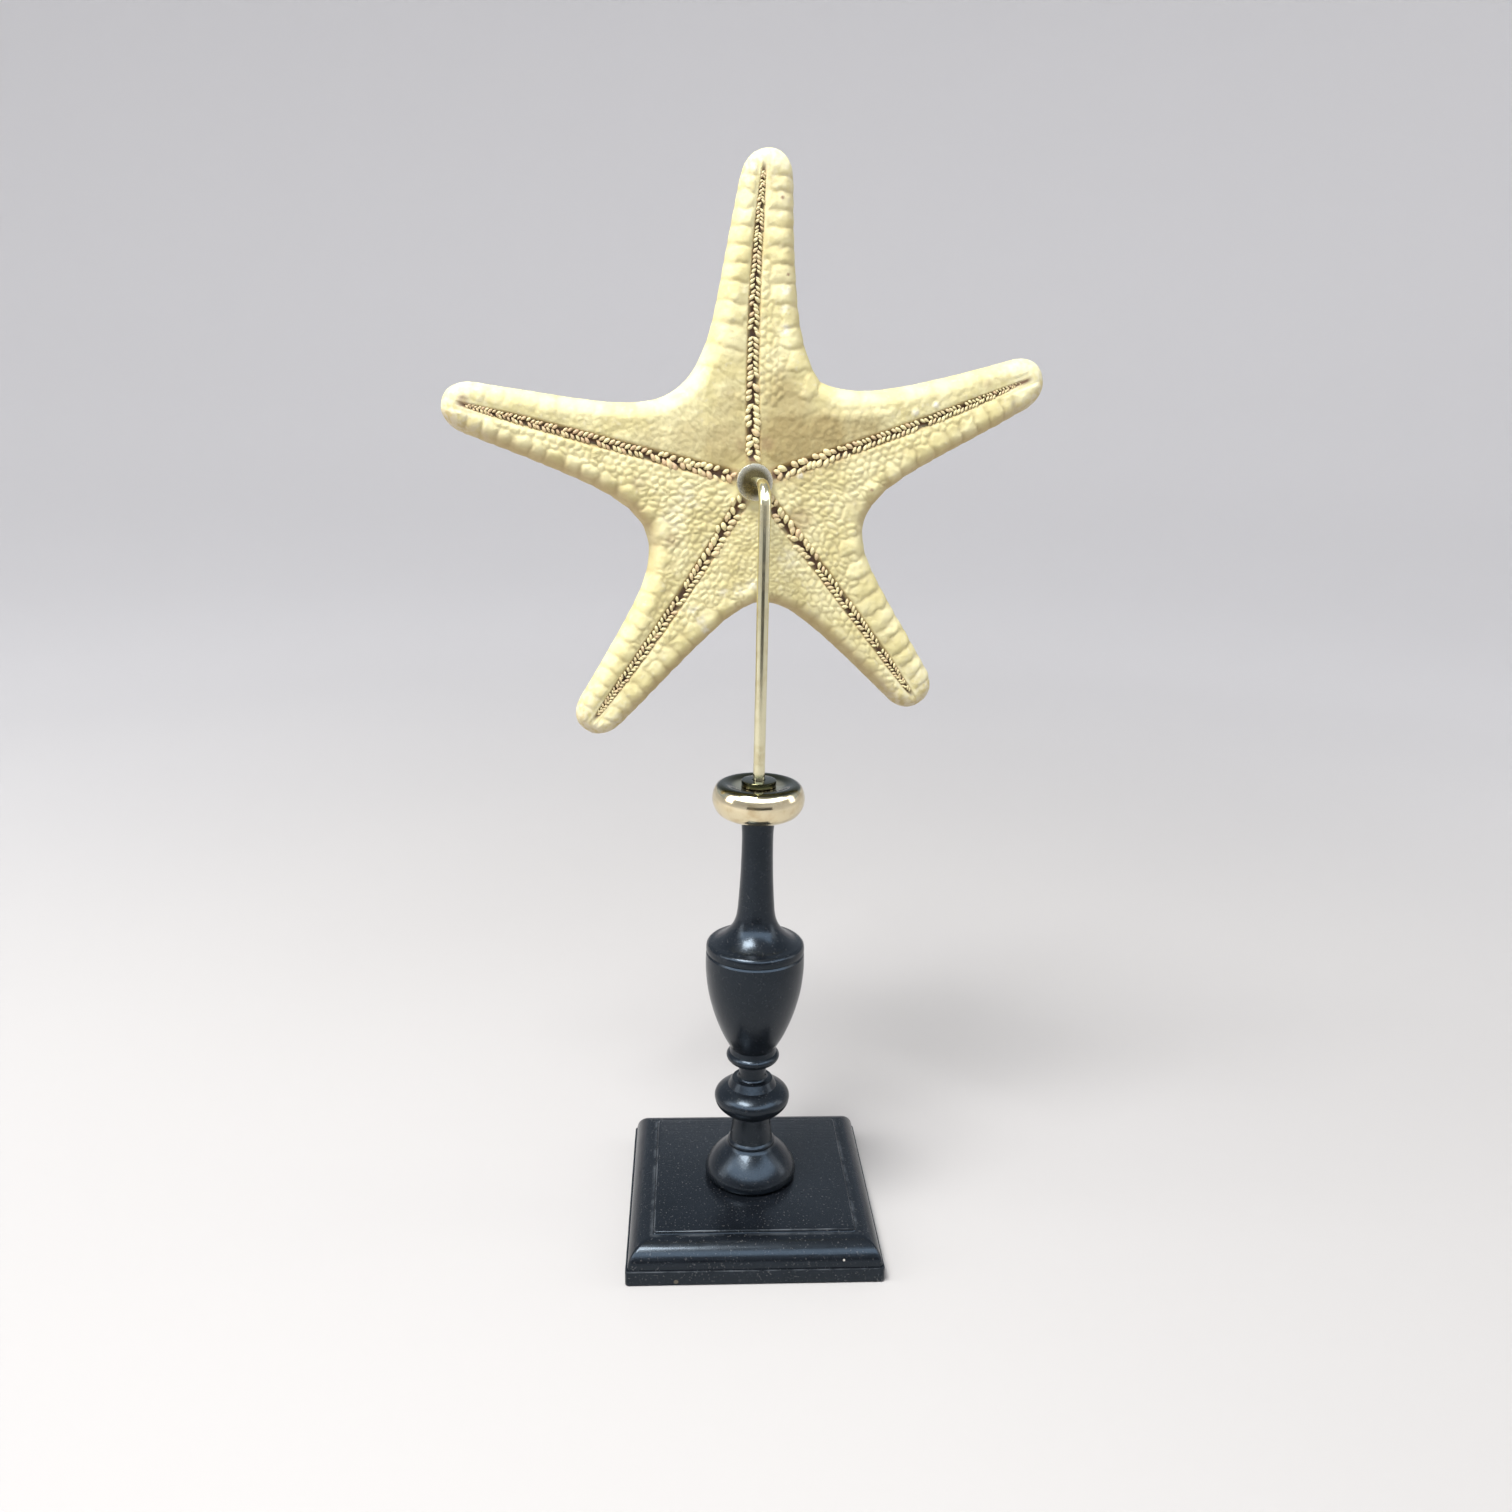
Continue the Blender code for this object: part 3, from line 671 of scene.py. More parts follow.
def nearest_arm(points):
    """The nearest arm's number, and the distance along it and aside from its furrow, signed."""
    number = np.zeros(len(points), int)
    along = np.zeros(len(points))
    aside = np.full(len(points), 1e9)
    for index, arm in enumerate(ARMS):
        axis, side = arm_axes(arm)
        here = points @ axis
        off = points @ side - bow(arm, np.clip(here, 0, arm.length))
        closer = (here >= -0.001) & (np.abs(off) < np.abs(aside))
        number = np.where(closer, index, number)
        along = np.where(closer, here, along)
        aside = np.where(closer, off, aside)
    return number, along, aside


def thickness(along):
    """Front to back through an arm's middle line."""
    return 11 + 10 * (1 - along / USUAL_LENGTH) + 10 * np.exp(-(along / 32) ** 2)


def quarter_round(share):
    return np.sqrt(1 - (1 - np.clip(share, 0, 1)) ** 2)


# %% [markdown]
# ## The starfish: its net
#
# Fine skin needs a net of some 60,000 points, more than hands can lay, so the net is worked out: rings
# that follow the edge where the skin turns over it, rows along each furrow, and an even honeycomb between.
# Blender has the way to join such points into even triangles built in.


# %% Lay a net
FRONT_PITCH, BACK_PITCH = 0.58, 0.93
FURROW_ROWS = (0, 0.4, 0.8, 1.25, 1.7, 2.15, 2.6, 3.1, 3.6)
EDGE_ROUND = 6.0


def lay_net(pitch, ring_angles, ring_reach, furrow_rows):
    """Points for one face of the star, the edge's own first, and the triangles between them."""
    insets = ring_reach * (1 - np.cos(np.radians(ring_angles)))
    layers = [outline] + [outline - outwards * inset for inset in insets]
    low, high = outline.min(axis=0), outline.max(axis=0)
    columns = np.arange(low[0], high[0], pitch)
    rows = np.arange(low[1], high[1], pitch * math.sqrt(3) / 2)
    comb = np.array([(x + (k % 2) * pitch / 2, y) for k, y in enumerate(rows) for x in columns])
    comb = comb[edge_distance(comb) > insets[-1] + 0.6 * pitch]
    if furrow_rows:
        _, along, aside = nearest_arm(comb)
        comb = comb[(np.abs(aside) > furrow_rows[-1] + 0.35) | (along < 8) | (along > 108)]
        for arm in ARMS:
            steps = np.arange(8, arm.length - 4.5, 0.45)
            for row in furrow_rows:
                for side in ((-1, 1) if row else (1,)):
                    lane = arm_point(arm, steps, side * row)
                    layers.append(lane[edge_distance(lane) > insets[-1] + 0.5])
    points = np.concatenate(layers + [comb])
    count = len(outline)
    loop = [(k, (k + 1) % count) for k in range(count)]
    made = geometry.delaunay_2d_cdt([Vector(point) for point in points], loop, [], 1, 1e-6)
    origin = np.array([sources[0] for sources in made[3]])
    triangles = origin[np.array(made[2])]
    print("net of", len(points), "points and", len(triangles), "triangles")
    return points, triangles


front_net = lay_net(FRONT_PITCH, (9, 17, 25, 33, 41, 49, 57), EDGE_ROUND, FURROW_ROWS)
back_net = lay_net(BACK_PITCH, (4, 9, 15, 21, 27, 33), 13.0, ())

# %% [markdown]
# ## The starfish: its form
#
# The underside is nearly flat, rounded over at its edge, with a furrow along each arm. The upper side,
# which stays hidden behind it, is a low dome with the blunt knobs that such a starfish has.


# %% Depths
FURROW_DEPTH, RIM_SHARE = 1.6, 0.45


def furrow_half(along):
    """Half the furrow's width: wide by the mouth, narrow towards the tip."""
    return np.interp(along, (10, 38, 60, 90, 106), (2.25, 2.05, 1.9, 1.55, 0.8))


def furrow_depth(along, aside, edge):
    fade = np.clip((USUAL_LENGTH - 4 - along) / 10, 0, 1) * np.clip(edge / 4, 0, 1)
    share = np.abs(aside) / furrow_half(along)
    return fade * (FURROW_DEPTH * np.exp(-share ** 6) + 0.4 * np.exp(-(aside / 5.0) ** 2))


def front_depth(points, edge):
    _, along, aside = nearest_arm(points)
    rim = RIM_SHARE * thickness(along)
    depth = rim * (1 - quarter_round(edge / EDGE_ROUND)) + furrow_depth(along, aside, edge)
    mouth = np.clip((11 - np.hypot(points[:, 0], points[:, 1])) / 3, 0, 1)
    return np.where(mouth > 0, np.maximum(depth * (1 - mouth), 0.3), depth)


def knobs():
    """Place, height and radius of the blunt knobs on the upper side."""
    pitch = np.array([1 - 0.5 * k / 13 for k in range(14)])
    ends = np.concatenate([[0], np.cumsum(pitch)]) / pitch.sum()
    placed = [(0, 0, 2.5, 4.5)]
    for arm in ARMS:
        ladder = [(DISC_REACH * 0.6, 6.0, 6.5)]
        for plate in range(1, 12, 2):
            fade = plate / 14
            along = DISC_REACH + (arm.length - DISC_REACH) * ends[plate]
            ladder.append((along, 4.2 - 2.6 * fade, 5.0 - 1.5 * fade))
        for along, height, radius in ladder:
            placed.append((*arm_point(arm, np.array([along]), 0)[0], height, radius))
    return placed


def back_depth(points, edge):
    _, along, _ = nearest_arm(points)
    rim = RIM_SHARE * thickness(along)
    width = np.clip(half_width(np.clip(along, 30, 104), USUAL_LENGTH), 0, 20)
    depth = rim + (thickness(along) - rim) * quarter_round(edge / width)
    for x, y, height, radius in knobs():
        share = np.clip(1 - np.hypot(points[:, 0] - x, points[:, 1] - y) / radius, 0, 1)
        depth += height * share ** 1.2
    return depth


# %% [markdown]
# ## The starfish: its plates
#
# The skin is paved with limy plates: a row of large ones along each edge, small ones beside the furrow and
# scales on the disc. Paving could be carved by hand, or grown: here each plate is a seed with a length, a
# width and a direction, and each point of the skin belongs to the seed that is nearest by those measures.
# The joints lie where two seeds are as near as each other, as in the real skin.

# %% Seeds of the plates
Seed = namedtuple("Seed", "x y turn along across height lean")
# How the two sides of each arm look: how far the large plates reach in from the edge, how high they stand
# and lean towards the tip, and how high the small scales beside the furrow stand.
Side = namedtuple("Side", "reach height lean scales")
SIDES = {
    (0, 1): Side(9.0, 0.16, 0.0, 0.18), (0, -1): Side(9.2, 0.75, 0.6, 0.45),
    (1, 1): Side(30.0, 0.62, -0.2, 0.30), (1, -1): Side(10.0, 0.62, -0.2, 0.40),
    (2, 1): Side(7.5, 0.80, 0.6, 0.55), (2, -1): Side(9.0, 0.20, 0.0, 0.22),
    (3, 1): Side(9.5, 0.60, 0.3, 0.45), (3, -1): Side(9.8, 0.50, 0.3, 0.40),
    (4, 1): Side(12.5, 0.65, 0.5, 0.45), (4, -1): Side(7.0, 0.34, 0.2, 0.42),
}
# The scales between two arms, anticlockwise from the right arm: length, width, direction and height.
Patch = namedtuple("Patch", "length width turn height")
PATCHES = (Patch(3.4, 3.0, 40, 0.08), Patch(4.6, 1.5, 125, 0.15), Patch(3.9, 2.1, 0, 0.56),
           Patch(3.0, 1.6, 0, 0.40), Patch(4.2, 2.1, -14, 0.50))
draw = np.random.default_rng(7)


def joint(number):
    """Where the joints between the large plates lie along an arm."""
    return 36.0 + 7.4 * number - 0.085 * number ** 2


def edge_plates(index, sign, reach, height, lean):
    """Seeds of the large plates along one edge of one arm."""
    arm = ARMS[index]
    notch, half_angle = notch_beside(index, sign)
    start = notch * math.cos(half_angle)
    seeds = []
    for number in range(12):
        low, high = joint(number) + draw.uniform(-0.5, 0.5), joint(number + 1)
        share = np.array([((low + high) / 2 - start) / (arm.length - start)])
        place = edge_line(index, sign, np.clip(share, 0.01, 0.985))[0]
        out = outwards[outline_tree.find((*place, 0))[1]]
        free = half_width((low + high) / 2, arm.length) - 2.4
        inner = min(reach, free) * draw.uniform(0.92, 1.05)
        x, y = place - out * (inner / 2 - 0.4)
        turn = math.atan2(out[0] * sign, -out[1] * sign) + math.pi
        standing = height * min(1, 0.3 + 0.25 * number) if reach > 20 else height
        seeds.append(Seed(x, y, turn, (high - low) / 2, inner / 2, standing, lean))
    return seeds


def furrow_scales(index, sign, side):
    """Seeds of the small scales between the furrow and the large plates."""
    arm = ARMS[index]
    seeds = []
    direction = math.radians(arm.direction)
    for row in range(4):
        off = 3.5 + 2.3 * row
        for along in np.arange(30 + 1.6 * (row % 2), arm.length - 9, 3.3):
            free = half_width(along, arm.length) - min(side.reach, 30) + 0.6
            if off > max(free, 3.0 if side.reach < 20 else 0):
                continue
            step, slip = draw.uniform(-0.5, 0.5, 2)
            x, y = arm_point(arm, np.array([along + step]), sign * (off + slip))[0]
            seeds.append(Seed(x, y, direction + draw.uniform(-0.3, 0.3), 1.8, 1.25, side.scales, 0.2))
    return seeds


def cells(points, seeds):
    """For each point: its distance to the nearest seed and the next, the seed, and how far along it lies."""
    table = np.array(seeds, np.float32)
    cos, sin = np.cos(table[:, 2]), np.sin(table[:, 2])
    found = []
    for chunk in np.array_split(points.astype(np.float32), max(1, len(points) // 3000)):
        dx, dy = chunk[:, :1] - table[:, 0], chunk[:, 1:] - table[:, 1]
        along = (dx * cos + dy * sin) / table[:, 3]
        across = (dy * cos - dx * sin) / table[:, 4]
        gap = along ** 2 + across ** 2
        pair = np.argpartition(gap, 1, axis=1)[:, :2]
        near = np.take_along_axis(gap, pair, axis=1)
        swap = near[:, 0] > near[:, 1]
        pair[swap] = pair[swap][:, ::-1]
        near = np.sqrt(np.sort(near, axis=1))
        own = np.take_along_axis(along, pair[:, :1], axis=1)[:, 0]
        found.append((near[:, 0], near[:, 1], pair[:, 0], own))
    return [np.concatenate(part) for part in zip(*found)]


def disc_scales(seeds):
    """Seeds of the scales between the arms, wherever no plate lies yet."""
    for index, patch in enumerate(PATCHES):
        low = ARMS[index].direction
        turn = math.radians(patch.turn)
        axis = np.array([math.cos(turn), math.sin(turn)])
        side = np.array([-axis[1], axis[0]])
        added = []
        for row in range(-40, 41):
            for column in range(-22, 23):
                u = (column + 0.5 * (row % 2)) * patch.length
                x, y = axis * u + side * row * patch.width
                angle = (math.degrees(math.atan2(y, x)) - low) % 360
                if angle < (ARMS[(index + 1) % 5].direction - low) % 360 and math.hypot(x, y) < 62:
                    added.append((x, y))
        added = np.array(added) + draw.uniform(-0.3, 0.3, (len(added), 2)) * (patch.length, patch.width)
        _, along, aside = nearest_arm(added)
        free = (edge_distance(added) > 3) & (np.abs(aside) > 3.0) & (along > 9)
        added = added[free]
        added = added[cells(added, seeds)[0] > 1.15]
        shape = (patch.length / 2, patch.width / 2, patch.height, 0.3)
        seeds = seeds + [Seed(x, y, turn + draw.uniform(-0.3, 0.3), *shape) for x, y in added]
    return seeds


plates = []
for (index, sign), side in SIDES.items():
    plates += edge_plates(index, sign, side.reach, side.height, side.lean)
    plates += furrow_scales(index, sign, side)
plates = disc_scales(plates)
print(len(plates), "plates on the underside")


# %% [markdown]
# ## The starfish: its relief and marks
#
# Each plate stands out from its joints and falls off towards them. Over the paving lie the marks that this
# one animal has: lumps, creases, bare leathery places, white flakes and brown stains, each with its place.


# %% Relief of the underside
def lumps(points, size, seed):
    """Smooth noise from -1 to 1."""
    return np.array([noise.noise(Vector((x / size, y / size, seed))) for x, y in points])


def paving(points, seeds, finest, widest):
    """For each point: its plate's height and lean, its rise from the joint, the plate's crown and place."""
    near, next_near, owner, own_along = cells(points, seeds)
    table = np.array(seeds)
    size = np.sqrt(table[owner, 3] * table[owner, 4])
    border = (next_near - near) * size * 0.5
    rise = 1 - np.exp(-(border / np.clip(0.28 * size, finest, widest)) ** 1.3)
    crown = np.clip(1 - near ** 2 * 0.45, 0, 1)
    return table[owner, 5], table[owner, 6], rise, crown, own_along


def front_relief(points, edge):
    """How far the skin stands out, in mm, and how much of each point is joint."""
    warp = np.column_stack([lumps(points, 3.4, 3.0), lumps(points, 3.4, 9.0)]) * 1.3
    height, lean, rise, crown, own_along = paving(points + warp, plates, 0.36, 1.4)
    _, _, aside = nearest_arm(points)
    reach = np.hypot(points[:, 0], points[:, 1])
    clear = np.clip((np.abs(aside) - 2.2) / 0.8, 0, 1) * np.clip((reach - 8) / 4, 0, 1)
    relief = height * rise * (0.55 + 0.45 * crown + 0.35 * lean * np.clip(own_along, -1, 1)) * clear
    relief += (0.18 * lumps(points, 1.9, 4.0) + 0.30 * lumps(points, 5.5, 6.0)) * clear
    for x, y, radius, rise_here in LUMPS:
        share = np.hypot(points[:, 0] - x, points[:, 1] - y) / radius
        relief += rise_here * np.clip(1 - share ** 2, 0, 1) ** 1.5
    for start, end, deep in CREASES:
        start, end = np.array(start), np.array(end)
        reach = np.clip((points - start) @ (end - start) / np.sum((end - start) ** 2), 0, 1)
        gap = np.linalg.norm(points - start - reach[:, None] * (end - start), axis=1)
        relief -= deep * np.exp(-(gap / 0.55) ** 2) * np.sqrt(np.clip(4 * reach * (1 - reach), 0.05, 1))
    relief *= 0.35 + 0.65 * np.clip(edge / 3.5, 0, 1)
    return relief, (1 - rise) * clear * np.clip(height / 0.4, 0, 1)


# %% Lumps, creases and tints
# Single lumps: x, y, radius and height. The first are a chain along the upper edge of the right arm.
LUMPS = ((26.8, 24.9, 2.2, 0.40), (30.6, 24.2, 2.4, 0.45), (34.7, 24.6, 2.3, 0.40), (38.9, 24.4, 2.5, 0.45),
         (43.2, 25.2, 2.3, 0.35), (47.6, 25.5, 2.5, 0.40), (52.8, 26.4, 2.4, 0.35), (58.0, 27.3, 2.4, 0.35),
         (62.0, 26.7, 1.8, 0.55), (69.8, 29.4, 1.7, 0.55), (45.6, -2.2, 3.2, 0.45), (17.9, 3.1, 1.9, 0.55),
         (-24.5, -45.5, 2.0, 0.35), (-27.8, -50.2, 1.9, 0.40), (-31.9, -57.1, 2.1, 0.40),
         (-35.4, -63.6, 1.9, 0.35))
# Creases and scratches: two ends and a depth.
CREASES = (((-30.9, 29.0), (-20.5, 15.0), 0.45), ((-22.5, 21.6), (-12.8, 12.5), 0.20),
           ((-19.2, 26.4), (-9.6, 17.8), 0.16), ((-27.3, 17.4), (-17.5, 10.2), 0.14),
           ((-24.2, -46.9), (-16.8, -54.8), 0.25), ((-11.6, -42.6), (0.4, -37.6), 0.22))
# The leathery brown areas of the skin, as round patches: x, y, radius and strength.
LEATHER = ((13, 15, 17, 1.0), (27, 17, 13, 1.0), (42, 20, 10, 0.75), (13, 30, 12, 0.75), (-11, 13, 13, 0.75),
           (-24, 15, 10, 0.5), (-9, 27, 8, 0.5), (18, -13, 6, 0.35), (-38, 15, 7, 0.35), (-9, 42, 6, 0.25))
# White, flaking places, and brown stains, given in the same way.
CHALK = ((-22.6, -48.3, 2.2, 0.6), (-20.0, -52.0, 2.0, 0.5), (-17.9, -55.7, 1.8, 0.6), (-10.7, -41.4, 2.2, 0.5),
         (-5.2, -40.2, 2.4, 0.6), (0.2, -38.4, 2.2, 0.6), (9.9, 68.3, 2.0, 0.8), (10.4, 61.4, 1.8, 0.5),
         (10.3, 54.5, 2.2, 0.8), (17.9, 3.1, 1.7, 0.8), (62.0, 26.7, 1.6, 0.7), (69.8, 29.4, 1.5, 0.8),
         (-25.1, -6.2, 5.5, 0.3), (-30.5, -13.5, 5.0, 0.25), (14.5, -28.4, 4.5, 0.25))
STAINS = ((25.7, -31.2, 1.8, 0.8), (29.0, -33.1, 1.5, 0.7), (39.7, -49.2, 1.7, 0.6), (8.3, 99.1, 0.7, 1.0),
          (10.9, 73.5, 0.6, 1.0), (-105.8, 27.3, 2.2, 0.6), (45.9, -2.4, 0.7, 0.9), (18.4, -14.0, 5.0, 0.30),
          (4.4, 14.0, 3.0, 0.35), (-4.6, 13.0, 3.0, 0.30), (-43.6, -0.8, 3.0, 0.25), (-31.0, -21.5, 3.5, 0.35),
          (90.3, 37.6, 2.0, 0.35))
print(len(LUMPS), "lumps,", len(CREASES), "creases and", len(LEATHER + CHALK + STAINS), "tinted places")


def patches(points, spots):
    """The strength of round, soft-edged patches."""
    found = np.zeros(len(points))
    for x, y, radius, strength in spots:
        gap = np.hypot(points[:, 0] - x, points[:, 1] - y) / radius
        found = np.maximum(found, strength * np.clip(1.6 - 1.3 * gap, 0, 1))
    return found


def front_tints(points, edge):
    """How strong each tint of the underside is: furrow, its border, leather, downward edges (tan and painted
    shade), chalk, stain.
    """
    number, along, aside = nearest_arm(points)
    length = np.array([arm.length for arm in ARMS])[number]
    share = np.abs(aside) / furrow_half(along)
    ends = np.clip((length - 5 - along) / 3, 0, 1) * np.clip((np.hypot(*points.T) - 6) / 2, 0, 1)
    furrow = np.exp(-(share / 0.82) ** 5) * ends
    border = np.exp(-((share - 1.08) / 0.28) ** 2) * ends
    leather = patches(points, LEATHER) * np.clip((edge - 6) / 6, 0, 1)
    nearest = np.array([outline_tree.find((x, y, 0))[1] for x, y in points])
    # Edges that face downwards: their own tan, with painted shade.
    down_edge_tan_and_shade = np.clip(0.45 - outwards[nearest, 1], 0, 1) * np.clip((5.5 - edge) / 3.5, 0, 1)
    chalk = np.maximum(patches(points, CHALK), 0.32 * np.clip((along - length + 24) / 18, 0, 1))
    stain = patches(points, STAINS)
    return {"furrow": furrow, "border": border, "leather": leather, "down_edge_tan_and_shade": down_edge_tan_and_shade, "chalk": chalk,
            "stain": stain}


# %% Relief of the upper side
def back_seeds():
    """The upper side's paving: a row of large plates along the edge and an even field of small ones."""
    seeds = []
    for index in range(len(ARMS)):
        for sign in (-1, 1):
            seeds += edge_plates(index, sign, 6.5, 0.55, 0.2)
    low, high = outline.min(axis=0), outline.max(axis=0)
    field = np.array([(x + (k % 2) * 1.7, y) for k, y in enumerate(np.arange(low[1], high[1], 2.9))
                      for x in np.arange(low[0], high[0], 3.4)])
    field += draw.uniform(-0.7, 0.7, field.shape)
    field = field[edge_distance(field) > 5.5]
    field = field[cells(field, seeds)[0] > 1.1]
    return seeds + [Seed(x, y, draw.uniform(0, 3.1), 1.8, 1.5, 0.38, 0.0) for x, y in field]


def back_relief(points):
    """Relief, joints and the whiter knobs of the upper side."""
    warp = np.column_stack([lumps(points, 3.4, 13.0), lumps(points, 3.4, 19.0)])
    height, _, rise, crown, _ = paving(points + warp, back_seeds(), 0.55, 0.55)
    relief = height * rise * (0.6 + 0.4 * crown) + 0.25 * lumps(points, 4.5, 16.0)
    tops = patches(points, [(x, y, radius * 0.5, 0.9) for x, y, _, radius in knobs()])
    return relief, 1 - rise, tops


# %% [markdown]
# ## The starfish: closing its skin
#
# The two nets share the edge's points, so the front and the back sewn together are one closed skin. Each
# point is first set at its depth, and then moved along the skin's own outward direction by its relief.


# %% Skin
def laid_piece(name, places, faces, tints):
    """A piece from points in the star's own directions, its triangles and its tints."""
    mesh = bpy.data.meshes.new(name)
    mesh.from_pydata((places * MM).tolist(), [], faces.tolist())
    store(mesh, tints)
    piece = bpy.data.objects.new(name, mesh)
    bpy.context.scene.collection.objects.link(piece)
    deselect()
    piece.select_set(True)
    bpy.context.view_layer.objects.active = piece
    piece.matrix_world = STAR_PLACE
    bpy.ops.object.mode_set(mode="EDIT")
    close_piece(piece, 180)
    return piece


def star_skin(name):
    """One closed skin from the front and the back net."""
    (front, front_faces), (back, back_faces) = front_net, back_net
    rim = len(outline)
    edges = [np.maximum(edge_distance(points), 0) for points in (front, back)]
    for edge in edges:
        edge[:rim] = 0
    depths = np.concatenate([front_depth(front, edges[0]), back_depth(back, edges[1])[rim:]])
    flat = np.vstack([front, back[rim:]])
    places = np.column_stack([flat[:, 0], depths, flat[:, 1]])
    back_faces = np.where(back_faces < rim, back_faces, back_faces + len(front) - rim)
    faces = np.vstack([front_faces, back_faces[:, ::-1]])
    corners = places[faces]
    facing = np.cross(corners[:, 1] - corners[:, 0], corners[:, 2] - corners[:, 0])
    normals = np.zeros_like(places)
    for corner in range(3):
        np.add.at(normals, faces[:, corner], facing)
    normals /= np.linalg.norm(normals, axis=1)[:, None]
    relief, joints = front_relief(front, edges[0])
    hidden_relief, hidden_joints, tops = [part[rim:] for part in back_relief(back)]
    hidden_relief *= np.clip(edges[1][rim:] / 2, 0, 1)
    places += normals * np.concatenate([relief, hidden_relief])[:, None]
    hidden = {"joint": hidden_joints, "chalk": tops}
    shown = {"joint": joints, **front_tints(front, edges[0])}
    tints = {label: np.concatenate([values, hidden.get(label, tops * 0)]) for label, values in shown.items()}
    return laid_piece(name, places, faces, tints)


skin = star_skin("starfish_skin")

# %% [markdown]
# ## The starfish: the finish of its skin
#
# Dried skin is a chalky cream, browner in its joints and where it is bare of lime, and dark in the furrow.
# Its downward-facing edges are tan-brown, partly their own tan and partly painted shade.
# The place of each tint was worked out with the skin and is kept in attributes on its mesh; the material
# only mixes them, breaks their edges with noise and adds the finest grain as bump.

# %% Dried skin
paint = Paint("dried_skin")
cloud = paint.noise(11, 3.0)
mottle = paint.noise(2.2, 3.0)
colour = paint.blend(paint.between(cloud, 0.35, 0.65), (0.68, 0.60, 0.28), (0.80, 0.73, 0.40))
colour = paint.blend(paint.between(mottle, 0.55, 0.75) * 0.35, colour, (0.80, 0.75, 0.55))
furrow_colour = paint.blend(mottle, (0.05, 0.02, 0.008), (0.26, 0.13, 0.05))
for label, strength, tint in (
    ("joint", 0.5, (0.42, 0.33, 0.14)),
    ("leather", 0.70 + 0.6 * mottle, (0.38, 0.29, 0.11)),
    # Tan and painted shade on the downward-facing edges.
    ("down_edge_tan_and_shade", 0.5 + 0.5 * mottle, (0.40, 0.28, 0.13)),
    ("chalk", paint.between(mottle, 0.35, 0.6), (0.84, 0.81, 0.68)),
    ("stain", 0.4 + 0.9 * mottle, (0.26, 0.13, 0.07)),
    ("border", 0.25 + 0.7 * mottle, (0.36, 0.22, 0.08)),
    ("furrow", 1.0, furrow_colour),
):
    colour = paint.blend(paint.attribute(label) * strength, colour, tint)
grain = paint.bump(paint.noise(0.8, 2.0) + 1.2 * paint.noise(2.2, 1.0), 0.10)
dress(skin, paint.finish(Base_Color=colour, Roughness=0.7, Normal=grain), "dried_starfish", "starfish")

# %% [markdown]
# ## The starfish: the beads in its furrows
#
# Two rows of small limy pegs stand in each furrow, over the dark skin. They slant towards the tip, in
# pairs, and by the mouth they grow into an uneven crowd. One peg is modelled, and every other is a copy of
# its points, turned, sized and set down in its place.

# %% One bead
deselect()
bpy.ops.mesh.primitive_ico_sphere_add(subdivisions=2, radius=0.5)
bead_model = start_piece("bead_model")
pick("VERT", lambda place: place.x > 0.2)
bpy.ops.transform.resize(value=(1.15, 0.78, 0.85), center_override=(0, 0, 0))
pick("VERT", lambda place: place.z < -0.2)
bpy.ops.transform.resize(value=(0.8, 0.8, 1.0), center_override=(0, 0, 0))
bpy.ops.object.mode_set(mode="OBJECT")
bead_points = np.array([tuple(vert.co) for vert in bead_model.data.vertices])
bead_faces = np.array([tuple(face.vertices) for face in bead_model.data.polygons])
bpy.data.objects.remove(bead_model)
print("one bead has", len(bead_faces), "triangles")

# %% Set the beads
Bead = namedtuple("Bead", "x y depth turn length width height tint")
# The left arm's beads are pinker: a high power makes low tints, which are pink, more common.
PINK_ARM, PINK_POWER, CREAM_POWER = 2, 1.6, 0.45


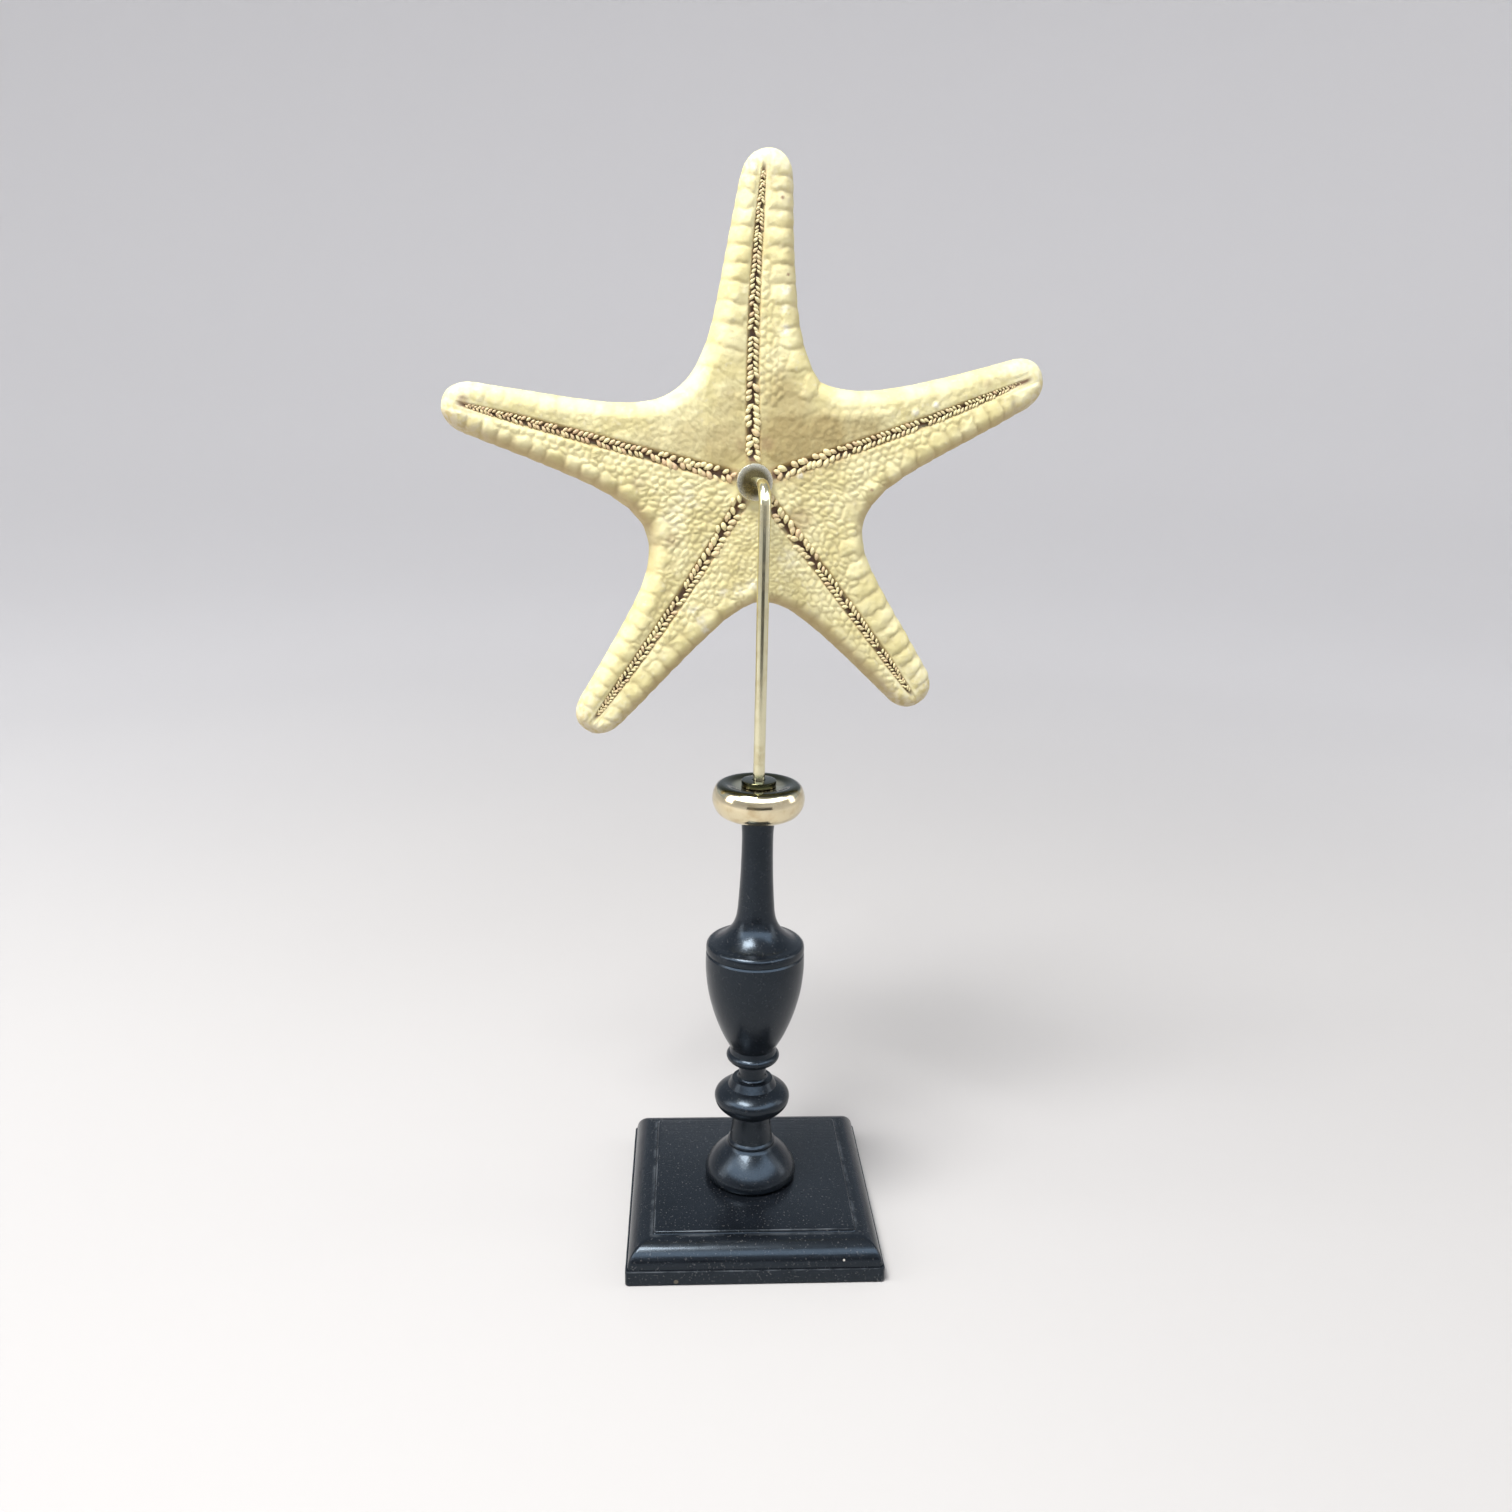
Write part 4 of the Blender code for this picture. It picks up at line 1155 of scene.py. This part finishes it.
def arm_beads(index):
    """The beads of one furrow: even pairs along the arm, larger and uneven ones by the mouth."""
    arm = ARMS[index]
    direction = math.radians(arm.direction)
    beads = []
    along = 9.0
    while along < arm.length - 8.5:
        crowd = float(np.clip((44 - along) / 12, 0, 1))
        small = float(np.interp(along, (60, 106), (1.0, 0.62)))
        half = float(furrow_half(along))
        for sign in (-1, 1):
            if draw.random() < 0.07 + 0.04 * crowd:
                continue
            slip, jitter = draw.normal(0, 0.18 + 0.25 * crowd, 2)
            off = sign * half * (0.54 + 0.12 * crowd) + slip
            x, y = arm_point(arm, np.array([along + jitter + (0.3 + 0.4 * crowd) * sign]), off)[0]
            turn = direction - sign * math.radians(46 + 20 * crowd * (draw.random() - 0.5))
            size = small * draw.uniform(0.85, 1.12) * (1 + 0.35 * crowd * draw.random())
            depth = 0.80 - 0.30 * crowd * draw.random()
            tint = draw.random() ** (PINK_POWER if index == PINK_ARM else CREAM_POWER)
            width = (1.45 + 0.35 * crowd) * size
            beads.append(Bead(x, y, depth, turn, 2.75 * size, width, 1.8 * size, tint))
        along += 2.0 * small + 0.3 * crowd
    return beads


def lay_beads(name, beads):
    """One mesh of all beads, each a copy of the modelled one."""
    places, faces, tints, painted_base_shades = [], [], [], []
    for number, bead in enumerate(beads):
        cos, sin = math.cos(bead.turn), math.sin(bead.turn)
        sized = bead_points * (bead.length, bead.width, bead.height)
        x = bead.x + sized[:, 0] * cos - sized[:, 1] * sin
        y = bead.y + sized[:, 0] * sin + sized[:, 1] * cos
        places.append(np.column_stack([x, bead.depth - sized[:, 2], y]))
        faces.append(bead_faces + number * len(bead_points))
        tints += [bead.tint] * len(bead_points)
        # Painted shade: each bead is darker on its deep side, where it sits in the furrow.
        painted_base_shades.append(np.clip(0.42 - 1.7 * bead_points[:, 2], 0, 1))
    stored = {"tint": np.array(tints), "low": np.concatenate(painted_base_shades)}
    return laid_piece(name, np.concatenate(places), np.concatenate(faces), stored)


beads = [bead for index in range(len(ARMS)) for bead in arm_beads(index)]
spines = lay_beads("furrow_spines", beads)
print(len(beads), "beads")
paint = Paint("bead_lime")
colour = paint.blend(paint.attribute("tint"), (0.60, 0.42, 0.24), (0.79, 0.71, 0.38))
colour = paint.blend(paint.between(paint.noise(1.0, 3.0), 0.45, 0.7) * 0.45, colour, (0.38, 0.25, 0.11))
# Painted shade on each bead's deep side.
colour = paint.blend(paint.attribute("low"), colour, (0.20, 0.10, 0.03))
grain = paint.bump(paint.noise(0.5, 3.0), 0.06)
dress(spines, paint.finish(Base_Color=colour, Roughness=0.6, Normal=grain), "dried_starfish", "starfish")
